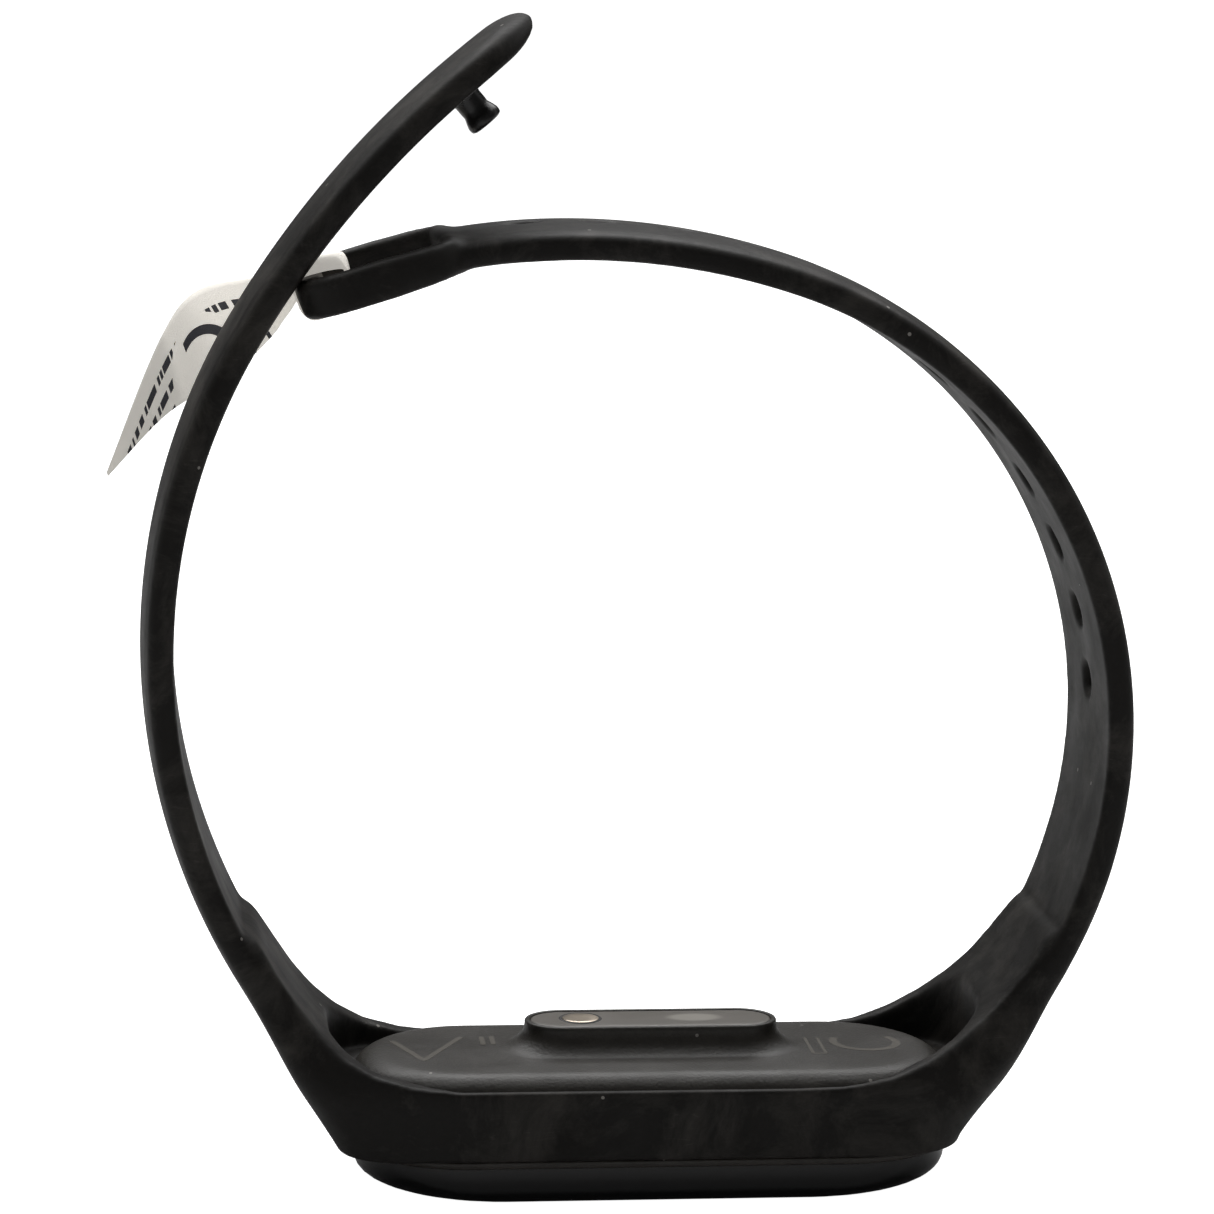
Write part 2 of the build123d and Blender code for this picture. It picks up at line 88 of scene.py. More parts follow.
grain_group, gin, gout = new_group(
    "moulded grain", "ShaderNodeTree",
    {"Size": (FLOAT, 0.00012), "Depth": (FLOAT, 0.000004), "Waviness": (FLOAT, 0.3)},
    {"Normal": VECTOR, "Height": FLOAT},
)
coords = node(grain_group, "ShaderNodeTexCoord").outputs["Object"]
scale = maths(grain_group, "DIVIDE", 1.0, gin["Size"])
fine = node(grain_group, "ShaderNodeTexNoise", {"Vector": coords, "Scale": scale,
                                                "Detail": 2.0, "Roughness": 0.6})
swell = node(grain_group, "ShaderNodeTexNoise", {"Vector": coords, "Scale": 700.0, "Detail": 1.0})
mixed = node(grain_group, "ShaderNodeMix", {"Factor": gin["Waviness"], 2: fine.outputs["Fac"],
                                            3: swell.outputs["Fac"]})
bump = node(grain_group, "ShaderNodeBump", {"Height": mixed, "Distance": gin["Depth"], "Strength": 1.0})
grain_group.links.new(bump.outputs[0], gout["Normal"])
grain_group.links.new(mixed.outputs[0], gout["Height"])

# clouded wear: patches, a few millimetres wide, between a low and a high value
cloud_group, gin, gout = new_group(
    "clouded wear", "ShaderNodeTree",
    {"Patch": (FLOAT, 0.006), "Low": (FLOAT, 0.4), "High": (FLOAT, 0.6)}, {"Value": FLOAT},
)
coords = node(cloud_group, "ShaderNodeTexCoord").outputs["Object"]
scale = maths(cloud_group, "DIVIDE", 1.0, gin["Patch"])
patch = node(cloud_group, "ShaderNodeTexNoise", {"Vector": coords, "Scale": scale,
                                                 "Detail": 5.0, "Roughness": 0.62})
ranged = node(cloud_group, "ShaderNodeMapRange", {
    "Value": patch.outputs["Fac"], "From Min": 0.3, "From Max": 0.7, "To Min": gin["Low"], "To Max": gin["High"]})
cloud_group.links.new(ranged.outputs[0], gout["Value"])

# settled dust: a speck in some of the cells, and nothing in the rest
dust_group, gin, gout = new_group(
    "settled dust", "ShaderNodeTree",
    {"Spacing": (FLOAT, 0.0016), "Speck": (FLOAT, 0.09), "Amount": (FLOAT, 0.35)}, {"Mask": FLOAT},
)
coords = node(dust_group, "ShaderNodeTexCoord").outputs["Object"]
scale = maths(dust_group, "DIVIDE", 1.0, gin["Spacing"])
cells = node(dust_group, "ShaderNodeTexVoronoi", {"Vector": coords, "Scale": scale})
inside = maths(dust_group, "LESS_THAN", cells.outputs["Distance"], gin["Speck"])
chance = node(dust_group, "ShaderNodeSeparateColor", {"Color": cells.outputs["Color"]})
kept = maths(dust_group, "LESS_THAN", chance, gin["Amount"])
both = maths(dust_group, "MULTIPLY", inside, kept)
dust_group.links.new(both.outputs[0], gout["Mask"])

# handling film: cloudy smears and fine hairs of skin grease and lint
film_group, gin, gout = new_group(
    "handling film", "ShaderNodeTree", {"Amount": (FLOAT, 0.3)}, {"Mask": FLOAT},
)
coords = node(film_group, "ShaderNodeTexCoord").outputs["Object"]
smear = node(film_group, "ShaderNodeTexNoise", {"Vector": coords, "Scale": 150.0, "Detail": 8.0,
                                                "Roughness": 0.68, "Distortion": 0.6})
cloudy = node(film_group, "ShaderNodeMapRange", {"Value": smear, "From Min": 0.47, "From Max": 0.7})
stretch = node(film_group, "ShaderNodeMapping", {"Vector": coords, "Rotation": (0.5, 0.9, 0.4),
                                                 "Scale": (300, 600, 2200)})
hair = node(film_group, "ShaderNodeTexNoise", {"Vector": stretch, "Scale": 1.0, "Detail": 2.0,
                                               "Distortion": 2.5})
hairs = node(film_group, "ShaderNodeMapRange", {"Value": hair, "From Min": 0.62, "From Max": 0.8})
faint = maths(film_group, "MULTIPLY", hairs, cloudy)
either = maths(film_group, "ADD", cloudy, faint)
weighed = maths(film_group, "MULTIPLY", either, gin["Amount"])
film_group.links.new(weighed.outputs[0], gout["Mask"])


def finish_material(name, colour, rough, grain=(0.00012, 0.000004), spread=0.08, dust=0.0, metal=0.0,
                    coat=0.0, specular=0.5, ior=1.5, film=0.0, speckle_highlight_colour=None):
    """A plastic or metal finish: grain and wear always; film, dust and painted speckle highlights on the grain
    where they are asked for.
    """
    made = bpy.data.materials.new(name)
    made.use_nodes = True
    tree = made.node_tree
    tree.nodes.clear()
    skin = node(tree, "ShaderNodeGroup", node_tree=grain_group)
    skin.inputs["Size"].default_value, skin.inputs["Depth"].default_value = grain
    wear = node(tree, "ShaderNodeGroup", node_tree=cloud_group)
    wear.inputs["Low"].default_value = rough - spread
    wear.inputs["High"].default_value = rough + spread
    # the grain's peaks take a second colour: a slightly lighter grain tone, unless a speckle highlight colour is
    # given, which is a painted highlight
    other = speckle_highlight_colour or tuple(min(1.0, c * 1.35 + 0.002) for c in colour)
    base = node(tree, "ShaderNodeMix", {"Factor": skin.outputs["Height"], 6: (*colour, 1), 7: (*other, 1)},
                data_type="RGBA")
    shown = base.outputs[2]
    if film:
        smear = node(tree, "ShaderNodeGroup", node_tree=film_group)
        smear.inputs["Amount"].default_value = film
        shown = node(tree, "ShaderNodeMix", {"Factor": smear, 6: shown, 7: (0.10, 0.092, 0.082, 1)},
                     data_type="RGBA").outputs[2]
    if dust:
        specks = node(tree, "ShaderNodeGroup", node_tree=dust_group)
        specks.inputs["Amount"].default_value = dust
        soft = maths(tree, "MULTIPLY", specks, 0.45)
        shown = node(tree, "ShaderNodeMix", {"Factor": soft, 6: shown, 7: (0.42, 0.4, 0.37, 1)},
                     data_type="RGBA").outputs[2]
    surface = node(tree, "ShaderNodeBsdfPrincipled", {
        "Base Color": shown, "Roughness": wear.outputs["Value"], "Normal": skin.outputs["Normal"],
        "Metallic": metal, "Coat Weight": coat, "Coat Roughness": 0.06, "Specular IOR Level": specular,
        "IOR": ior})
    node(tree, "ShaderNodeOutputMaterial", {"Surface": surface})
    return made


def show(obj, material, body, slot, *nodes, smooth=True):
    """Links a finished piece, gives it its material, rides it on its body and hides the CAD parts it stands for.
    """
    if obj.name not in bpy.context.scene.collection.all_objects:
        bpy.context.scene.collection.objects.link(obj)
    obj.data.materials.clear()
    obj.data.materials.append(material)
    if smooth:
        obj.data.shade_smooth()
    if body:
        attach(obj, body)
    if nodes:
        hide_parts(*nodes)
    return obj


def mesh_object(name, points, faces):
    """A mesh object from points in metres and faces, not linked yet."""
    data = bpy.data.meshes.new(name)
    data.from_pydata([tuple(p) for p in points], [], [tuple(f) for f in faces])
    data.update()
    return bpy.data.objects.new(name, data)


strap_material = finish_material(
    "silky elastomer", (0.0050, 0.0042, 0.0034), 0.55, grain=(0.00016, 0.000014), spread=0.08, dust=0.05,
    specular=0.42, ior=1.30, film=0.30)

# each arm starts at the root's height and lean, in millimetres: its side, the root's x, its straight
# run, its arcs of (radius, degrees), and where the plain section stops
ROOT_Z, LEAN = 5.6, math.radians(59.0)
ARMS = {
    "loop": (1, 23.3, 12.8, ((36.8, 103.0), (53.0, 33.0)), 105.6),
    "tail": (-1, 24.2, 14.2, ((47.3, 61.0), (74.5, 19.0), (190.0, 4.0)), 88.0),
}


def arm_station(arm, s):
    """Point and heading on the arm's mid surface at distance s from its root, in millimetres."""
    side, root_x, straight, arcs, _ = ARMS[arm]
    x, z, a = root_x, ROOT_Z, LEAN
    run = min(s, straight)
    x, z, left = x + run * math.cos(a), z + run * math.sin(a), s - straight
    for index, (radius, degrees) in enumerate(arcs):
        if left <= 0:
            break
        run = left if index == len(arcs) - 1 else min(left, radius * math.radians(degrees))
        turn = run / radius
        x += radius * (math.sin(a + turn) - math.sin(a))
        z += radius * (math.cos(a) - math.cos(a + turn))
        a, left = a + turn, left - run
    return side * x, z, a


# an arm is its section swept along its path, less a row of holes set square to it
tree, gin, gout = new_group(
    "strap arm", "GeometryNodeTree",
    {"Path": ("NodeSocketGeometry", None), "Section": ("NodeSocketObject", None),
     "Hole count": ("NodeSocketInt", 0), "First hole": (FLOAT, 0.0), "Hole pitch": (FLOAT, 0.00574),
     "Bore": (FLOAT, 0.0023), "Flare": (FLOAT, 0.0053), "Material": ("NodeSocketMaterial", None)},
    {"Geometry": "NodeSocketGeometry"},
)
arm_tree = tree
line = node(tree, "GeometryNodeMeshToCurve", {"Mesh": gin["Path"]})
shape = node(tree, "GeometryNodeObjectInfo", {"Object": gin["Section"]})
outline = node(tree, "GeometryNodeMeshToCurve", {"Mesh": shape.outputs["Geometry"]})
swept = node(tree, "GeometryNodeCurveToMesh", {"Curve": line, "Profile Curve": outline,
                                               "Fill Caps": True})
# the hole's cutter: a bore with a cone flared towards each face
bore_r = maths(tree, "MULTIPLY", gin["Bore"], 0.5)
flare_r = maths(tree, "MULTIPLY", gin["Flare"], 0.5)
bore = node(tree, "GeometryNodeMeshCylinder", {"Vertices": 40, "Radius": bore_r, "Depth": 0.006})
flare = node(tree, "GeometryNodeMeshCone", {"Vertices": 40, "Radius Top": flare_r,
                                            "Radius Bottom": bore_r, "Depth": 0.0015})
raised = node(tree, "GeometryNodeTransform", {"Geometry": flare, "Translation": (0, 0, 0.00085)})
turned = node(tree, "GeometryNodeTransform", {"Geometry": raised, "Rotation": (math.pi, 0, 0)})
cutter = node(tree, "GeometryNodeJoinGeometry")
for part in (bore.outputs[0], raised.outputs[0], turned.outputs[0]):
    tree.links.new(part, cutter.inputs[0])
marks = node(tree, "GeometryNodePoints", {"Count": gin["Hole count"]})
index = node(tree, "GeometryNodeInputIndex")
along = maths(tree, "MULTIPLY_ADD", index, gin["Hole pitch"], gin["First hole"])
sample = node(tree, "GeometryNodeSampleCurve", {"Curves": line, "Length": along}, mode="LENGTH")
square = node(tree, "ShaderNodeVectorMath", {0: sample.outputs["Tangent"], 1: (0, 1, 0)},
              operation="CROSS_PRODUCT")
turn = node(tree, "FunctionNodeAlignRotationToVector", {"Vector": square}, axis="Z")
placed = node(tree, "GeometryNodeSetPosition", {"Geometry": marks, "Position": sample.outputs["Position"]})
holes = node(tree, "GeometryNodeInstanceOnPoints", {"Points": placed, "Instance": cutter,
                                                    "Rotation": turn})
solid_holes = node(tree, "GeometryNodeRealizeInstances", {0: holes})
cut = node(tree, "GeometryNodeMeshBoolean", {"Mesh 1": swept, "Mesh 2": solid_holes,
                                             "Self Intersection": True},
           operation="DIFFERENCE", solver="EXACT")
some = node(tree, "FunctionNodeCompare", {2: gin["Hole count"], 3: 0}, data_type="INT",
            operation="GREATER_THAN")
either = node(tree, "GeometryNodeSwitch", {0: some, 1: swept, 2: cut},
              input_type="GEOMETRY")
whole = node(tree, "GeometryNodeRealizeInstances", {0: either})
coated = node(tree, "GeometryNodeSetMaterial", {"Geometry": whole, "Material": gin["Material"]})
tree.links.new(coated.outputs[0], gout["Geometry"])


def run_tree(obj, tree, values):
    """Evaluates a geometry tree on obj with its named inputs and returns the plain mesh."""
    modifier = obj.modifiers.new("shape", "NODES")
    modifier.node_group = tree
    for item in tree.interface.items_tree:
        if item.in_out == "INPUT" and item.name in values:
            modifier[item.identifier] = values[item.name]
    bpy.context.scene.collection.objects.link(obj)
    bpy.context.view_layer.update()
    result = bpy.data.meshes.new_from_object(obj.evaluated_get(bpy.context.evaluated_depsgraph_get()))
    obj.modifiers.remove(modifier)
    bpy.data.objects.remove(obj)
    return result


def rounded_section(half_width, half_thick, drop, outer_r, inner_r, steps=7):
    """Section outline: flat inner side, crowned outer side, rounded edges; outward is +second."""
    points = []
    for side, level, edge_r in ((1, -1, inner_r), (1, 1, outer_r), (-1, 1, outer_r), (-1, -1, inner_r)):
        top = half_thick - drop if level > 0 else -half_thick
        centre = (side * (half_width - edge_r), top - level * edge_r)
        start = {(1, -1): -90, (1, 1): 0, (-1, 1): 90, (-1, -1): 180}[(side, level)]
        if (side, level) == (-1, 1):
            for t in np.linspace(1, -1, 25)[1:-1]:
                across = t * (half_width - edge_r)
                points.append((across, half_thick - drop * (abs(across) / half_width) ** 2.2))
        for k in range(steps):
            a = math.radians(start + 90 * k / (steps - 1))
            points.append((centre[0] + edge_r * math.cos(a), centre[1] + edge_r * math.sin(a)))
    return points


# the plain section and the row of holes, in millimetres
HALF_WIDTH, HALF_THICK, CROWN, OUTER_EDGE, INNER_EDGE = 8.0, 1.26, 0.5, 0.75, 0.42
HOLE_COUNT, HOLE_FIRST, HOLE_PITCH, HOLE_BORE, HOLE_FLARE = 12, 36.45, 5.74, 2.3, 5.3
ARM_START, ARM_STEP = 9.0, 0.35
parts = []
for arm, (side, _, _, _, last) in ARMS.items():
    outline_points = rounded_section(HALF_WIDTH, HALF_THICK, CROWN, OUTER_EDGE, INNER_EDGE)
    ring = [(side * y * mm, out * mm, 0) for y, out in outline_points]
    section = bpy.data.meshes.new("section")
    section.from_pydata(ring, [(k, (k + 1) % len(ring)) for k in range(len(ring))], [])
    section_object = bpy.data.objects.new("section", section)
    bpy.context.scene.collection.objects.link(section_object)
    stations = np.arange(ARM_START, last, ARM_STEP)
    line_points = [(x * mm, 0, z * mm) for x, z, _ in (arm_station(arm, s) for s in stations)]
    path = bpy.data.meshes.new("path")
    path.from_pydata(line_points, [(k, k + 1) for k in range(len(line_points) - 1)], [])
    carrier = bpy.data.objects.new(arm + " arm", path)
    parts.append(run_tree(carrier, arm_tree, {
        "Section": section_object, "Hole count": HOLE_COUNT if arm == "loop" else 0,
        "First hole": (HOLE_FIRST - ARM_START) * mm, "Hole pitch": HOLE_PITCH * mm, "Bore": HOLE_BORE * mm,
        "Flare": HOLE_FLARE * mm, "Material": strap_material}))
    bpy.data.objects.remove(section_object)

# the cradle starts as one block flared from the capsule's outline to the arms' roots
SPACE_X, SPACE_Y, SPACE_CORNER = 23.25, 9.125, 8.65
POCKET_X, POCKET_Y, POCKET_CORNER, POCKET_FLOOR = 25.1, 7.7, 5.0, 8.4
RAIL_LOW, RAIL_TOP, BLOCK_TOP = 3.7, 9.1, 20.6
CRADLE_HALF_Y, TAIL_FOOT, LOOP_FOOT = 9.975, -24.4, 23.75


def smooth(t):
    t = min(1.0, max(0.0, t))
    return t * t * (3 - 2 * t)


def rounded_ring(left, right_side, half_y, corners, z, steps=14):
    """Rounded rectangle between two ends, at height z; corners are the left and right radii."""
    points = []
    for cx, cy, start in ((1, -1, -90), (1, 1, 0), (-1, 1, 90), (-1, -1, 180)):
        corner = corners[1] if cx > 0 else corners[0]
        for k in range(steps + 1):
            a = math.radians(start + 90 * k / steps)
            end = right_side - corner if cx > 0 else left + corner
            points.append((end + corner * math.cos(a), cy * (half_y - corner) + corner * math.sin(a), z))
        if cx != cy:
            reach = half_y - corner
            points += [(points[-1][0], -cy * reach * t, z) for t in np.linspace(-1, 1, 11)[1:-1]]
    return points


def stacked(name, rings, close_low=False, close_high=False):
    """Skin over a stack of rings that all have the same number of points, in millimetres."""
    size = len(rings[0])
    points = [tuple(c * mm for c in p) for ring in rings for p in ring]
    faces = []
    for level in range(len(rings) - 1):
        a, b = level * size, (level + 1) * size
        faces += [(a + k, a + (k + 1) % size, b + (k + 1) % size, b + k) for k in range(size)]
    if close_low:
        faces.append(tuple(reversed(range(size))))
    if close_high:
        faces.append(tuple((len(rings) - 1) * size + k for k in range(size)))
    return mesh_object(name, points, faces)


HALF_STRAP = 1.2


def face_line(arm, side_of_strap):
    """Heights and x of the arm's outer (+1) or inner (-1) face near its root."""
    heights, reaches = [], []
    for s in np.arange(-4.0, 26.0, 0.5):
        x, z, a = arm_station(arm, s)
        heights.append(z - side_of_strap * HALF_STRAP * math.cos(a))
        reaches.append(x + math.copysign(side_of_strap * HALF_STRAP * math.sin(a), x))
    return heights, reaches


block_rings = []
for z in np.linspace(RAIL_LOW, BLOCK_TOP, 36):
    ends = {arm: float(np.interp(z, *face_line(arm, 1))) for arm in ARMS}
    narrow = smooth((z - 8.0) / 8.5)
    tuck = smooth((z - 17.4) / 2.8)
    half_y = CRADLE_HALF_Y - (CRADLE_HALF_Y - HALF_WIDTH) * narrow - 0.9 * tuck
    corners = [low + (0.9 - low) * smooth((z - RAIL_LOW) / 11.0) for low in (4.6, 6.2)]
    left_end, right_end = min(ends["tail"], TAIL_FOOT), max(ends["loop"], LOOP_FOOT)
    ring = []
    for x, y, h in rounded_ring(left_end, right_end, half_y, corners, z):
        crown = CROWN * narrow * (abs(y) / HALF_WIDTH) ** 2.2 + 0.35 * tuck
        ring.append((x - math.copysign(crown, x), y, h))
    block_rings.append(ring)
block = stacked("block", block_rings, close_low=True, close_high=True)


def inner_face(arm, s):
    """Point on the arm's inner face at distance s."""
    x, z, a = arm_station(arm, s)
    return x - math.copysign(HALF_STRAP * math.sin(a), x), z + HALF_STRAP * math.cos(a)


# the valley between the arms: flat over the rails, then up the inner faces of both roots
valley = [inner_face("tail", s) for s in (22.0, 18.5)]
valley += [(-30.5, 19.9), (-29.1, 17.6), (-27.7, 15.5), (-26.0, 13.4), (-24.1, 11.7), (-21.9, 10.4),
           (-19.0, 9.55), (-15.4, 9.12)]
valley += [(10.0, RAIL_TOP), (14.2, 9.25), (17.6, 9.85), (20.3, 11.0), (22.6, 12.45), (24.7, 14.1),
           (26.5, 15.8), (28.0, 17.6), (29.4, 19.8)]
valley += [inner_face("loop", s) for s in (18.5, 22.0)]
size = len(valley)
scoop_faces = [tuple(range(size)), tuple(reversed(range(size, 2 * size)))]
scoop_faces += [(k, size + k, size + (k + 1) % size, (k + 1) % size) for k in range(size)]
scoop = mesh_object("scoop", [(x * mm, y * mm, z * mm) for y in (-14, 14) for x, z in valley], scoop_faces)
cups = [
    stacked("capsule space", [rounded_ring(-SPACE_X, SPACE_X, SPACE_Y, (SPACE_CORNER, SPACE_CORNER), z)
                              for z in (2.0, 21.0)], close_low=True, close_high=True),
    stacked("end pockets", [rounded_ring(-POCKET_X, POCKET_X, POCKET_Y, (POCKET_CORNER, POCKET_CORNER), z)
                            for z in (POCKET_FLOOR, 21.0)], close_low=True, close_high=True),
]
for obj in [block, scoop] + cups:
    bpy.context.scene.collection.objects.link(obj)
for k, tool in enumerate([scoop] + cups):
    cutting = block.modifiers.new(f"cut {k}", "BOOLEAN")
    cutting.operation, cutting.solver, cutting.object = "DIFFERENCE", "EXACT", tool
bpy.context.view_layer.update()
parts.append(bpy.data.meshes.new_from_object(block.evaluated_get(bpy.context.evaluated_depsgraph_get())))
for obj in [block, scoop] + cups:
    bpy.data.objects.remove(obj)

# the tail narrows to a rounded nose, thinned on both faces over its last few millimetres
TAIL_END, NOSE, TIP_R = 96.9, 3.4, 7.2
nose_rings = []
for s in list(np.arange(80.0, 92.0, 1.0)) + list(np.linspace(92.0, TAIL_END - 0.02, 34)):
    left_over = TAIL_END - s
    half_width = HALF_WIDTH
    if left_over < TIP_R:
        half_width = HALF_WIDTH - TIP_R + TIP_R * math.sqrt(1 - (1 - left_over / TIP_R) ** 2)
    thin = math.sqrt(1 - (1 - left_over / NOSE) ** 2) if left_over < NOSE else 1.0
    half_thick = max(0.12, HALF_THICK * thin)
    x, z, a = arm_station("tail", s)
    ring = []
    for y, out in rounded_section(half_width, half_thick, CROWN * thin, 0.595 * half_thick,
                                  0.333 * half_thick):
        ring.append((x - out * math.sin(a), y, z - out * math.cos(a)))
    nose_rings.append(ring)
nose = stacked("nose", nose_rings, close_low=True, close_high=True)
parts.append(nose.data)
TAIL_PARTS = (1, 3)  # the tail's sweep and its nose
parts.append(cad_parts["strap_loop"].data.copy())



HOLD_OFF, HOLD_FROM, HOLD_RISE = 0.9, 50.0, 12.0


def held_off(heights):
    """How far the tail is held off the loop at each height while the moulding is fused, in metres."""
    share = np.clip((np.asarray(heights) / mm - HOLD_FROM) / HOLD_RISE, 0, 1)
    return HOLD_OFF * mm * share * share * (3 - 2 * share)


# the parts are fused and softened into one moulding, then cut across the arms between bends
joined_points, joined_faces, offset = [], [], 0
for k, part in enumerate(parts):
    points = np.array([v.co[:] for v in part.vertices])
    if k in TAIL_PARTS:
        points[:, 0] -= held_off(points[:, 2])
    joined_points += points.tolist()
    joined_faces += [[offset + i for i in p.vertices] for p in part.polygons]
    offset += len(part.vertices)
moulding = mesh_object("moulding", joined_points, joined_faces)
bpy.context.scene.collection.objects.link(moulding)
voxel = 0.21 * mm
remesh = moulding.modifiers.new("fuse", "REMESH")
remesh.mode = "VOXEL"
remesh.voxel_size = voxel
remesh.adaptivity = 0.0
soften = moulding.modifiers.new("soften", "SMOOTH")
soften.factor, soften.iterations = 0.5, 9
bpy.context.view_layer.update()
fused = bpy.data.meshes.new_from_object(moulding.evaluated_get(bpy.context.evaluated_depsgraph_get()))
bpy.data.objects.remove(moulding)

count = len(fused.vertices)
where = np.empty(count * 3)
fused.vertices.foreach_get("co", where)
where = where.reshape(-1, 3)
quads = np.empty(len(fused.polygons) * 4, dtype=np.int64)
fused.polygons.foreach_get("vertices", quads)
quads = quads.reshape(-1, 4)
# the blends at the roots and the loop's neck are rounder than the rest of the moulding
height = where[:, 2] / mm
root_near = np.clip((height - 9.3) / 3.0, 0, 1) * np.clip((25.0 - height) / 5.0, 0, 1)
NECK_AT, LOOP_START, LOOP_TILT, LOOP_END = 105.2, 104.6, math.radians(197.5), 13.5
neck_x, neck_z, _ = arm_station("loop", NECK_AT)
neck_gap = np.hypot(where[:, 0] / mm - neck_x, where[:, 2] / mm - neck_z)
easing = 0.5 * np.maximum(root_near, np.clip((5.4 - neck_gap) / 1.6, 0, 1))[:, None]
heads, tails = quads.ravel(), np.roll(quads, -1, axis=1).ravel()
degree = np.bincount(heads, minlength=count) + np.bincount(tails, minlength=count)
for _ in range(20):
    total = np.zeros_like(where)
    for c in range(3):
        total[:, c] = (np.bincount(heads, where[tails, c], minlength=count)
                       + np.bincount(tails, where[heads, c], minlength=count))
    where += easing * (total / degree[:, None] - where)
middle = where[quads].mean(1)[:, (0, 2)] / mm


def loop_tip_line():
    """The flat loop's own mid line, past the end of the arm's arcs."""
    x, z, _ = arm_station("loop", LOOP_START)
    return [(x + t * math.cos(LOOP_TILT), z + t * math.sin(LOOP_TILT)) for t in np.arange(0.5, LOOP_END, 0.5)]


# each face belongs to the arm whose mid line is nearer, at that line's nearest station
lines = {}
for arm in ARMS:
    marks_s = list(np.arange(-2.0, LOOP_START if arm == "loop" else 98.0, 0.5))
    points = [arm_station(arm, s)[:2] for s in marks_s]
    if arm == "loop":
        tip = loop_tip_line()
        points += tip
        marks_s += [LOOP_START + 0.5 * (k + 1) for k in range(len(tip))]
    points = np.array(points)
    if arm == "tail":
        points[:, 0] -= held_off(points[:, 1] * mm) / mm
    lines[arm] = (points, np.array(marks_s))
nearest = {}
for arm, (points, marks_s) in lines.items():
    best = np.full(len(middle), 1e9)
    at = np.zeros(len(middle))
    for point, s in zip(points, marks_s):
        d = (middle[:, 0] - point[0]) ** 2 + (middle[:, 1] - point[1]) ** 2
        closer = d < best
        best[closer] = d[closer]
        at[closer] = s
    nearest[arm] = (best, at)
on_tail = nearest["tail"][0] < nearest["loop"][0]
let_back = np.zeros(count, dtype=bool)
let_back[quads[on_tail].ravel()] = True
where[let_back, 0] += held_off(where[let_back, 2])
fused.vertices.foreach_set("co", where.ravel())
fused.update()
normals = np.empty(count * 3)
fused.vertices.foreach_get("normal", normals)
normals = normals.reshape(-1, 3)

# name, arm, first and last station, the two bodies, where the bend starts and ends, nodes stood for
STRAP_PIECES = (
    ("strap_cradle_skin", None, None, 9.5, "cradle", None, 0, 0, ("strap_cradle",)),
    ("tail_skin_root", "tail", 9.5, 32.5, "cradle", "tail_lower", 10.5, 25.5, ("tail_strap_lower",)),
    ("tail_skin_middle", "tail", 32.5, 61.5, "tail_lower", "tail_upper", 39.5, 54.5, ("tail_strap_upper",)),
    ("tail_skin_end", "tail", 61.5, 999, "tail_upper", "tail_end", 72.5, 82.0, ("tail_strap_tip",)),
    ("loop_skin_root", "loop", 9.5, 44.0, "cradle", "loop_lower", 12.5, 27.5, ("loop_strap_lower",)),
    ("loop_skin_middle", "loop", 44.0, 85.7, "loop_lower", "loop_upper", 60.5, 75.5, ("loop_strap_upper",)),
    ("loop_skin_end", "loop", 85.7, 999, "loop_upper", "loop_end", 97.5, 104.8, ("strap_loop",)),
)
for name, arm, low, high, body, bent_body, bend_from, bend_to, stood in STRAP_PIECES:
    if arm is None:
        chosen = np.where(on_tail, nearest["tail"][1], nearest["loop"][1]) < high
    else:
        station = nearest[arm][1]
        chosen = (on_tail if arm == "tail" else ~on_tail) & (station >= low) & (station < high)
    faces = quads[chosen]
    used, renumbered = np.unique(faces, return_inverse=True)
    piece = mesh_object(name, where[used], renumbered.reshape(-1, 4).tolist())
    piece.data.shade_smooth()
    piece.data.normals_split_custom_set_from_vertices(normals[used].tolist())
    show(piece, strap_material, None if bent_body else body, "strap_elastomer", *stood, smooth=False)
    if bent_body:
        (x0, z0, _), (x1, z1, _) = arm_station(arm, bend_from), arm_station(arm, bend_to)
        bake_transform(piece)


# ------------------------------------------------------------------ cover glass
# Strengthened glass, ground flat in the middle and slumped over its long sides and its ends.
# It is bonded over the display in the front frame, and its back is printed black.
def pill_ring(half_x, half_y, corner, z, steps=12):
    """Rounded outline of the capsule at height z, with points along its long sides too."""
    corner = min(corner, half_x, half_y)
    points = []
    for cx, cy, start in ((1, -1, -90), (1, 1, 0), (-1, 1, 90), (-1, -1, 180)):
        for k in range(steps + 1):
            a = math.radians(start + 90 * k / steps)
            points.append((cx * (half_x - corner) + corner * math.cos(a),
                           cy * (half_y - corner) + corner * math.sin(a), z))
        if cx == cy:
            span = half_x - corner
            points += [(cx * span * (1 - 2 * t), points[-1][1], z) for t in np.linspace(0, 1, 14)[1:-1]]
    return points


def arc_steps(n):
    """Angles of a quarter turn in n steps."""
    return [math.radians(90 * k / n) for k in range(n + 1)]


glass_material = finish_material(
    "smoked cover glass", (0.003, 0.003, 0.0032), 0.16, grain=(0.0004, 0.0000002), spread=0.05, dust=0.01,
    coat=0.25, specular=0.22)
CAPSULE_X, CAPSULE_Y, CAPSULE_CORNER, GLASS_HEIGHT = 23.2, 9.075, 8.6, 3.0
END_CURVE, SIDE_CURVE = 6.6, 1.7
rings = []
for a in arc_steps(12):
    shrink = 1 - math.sin(a)
    rings.append(pill_ring(CAPSULE_X - END_CURVE * shrink ** 1.6, CAPSULE_Y - SIDE_CURVE * shrink ** 1.6,
                           CAPSULE_CORNER - SIDE_CURVE * shrink, GLASS_HEIGHT * (1 - math.cos(a))))
glass = stacked("cover_glass", rings, close_low=True)
show(glass, glass_material, "tracker", "cover_glass", "display_glass")
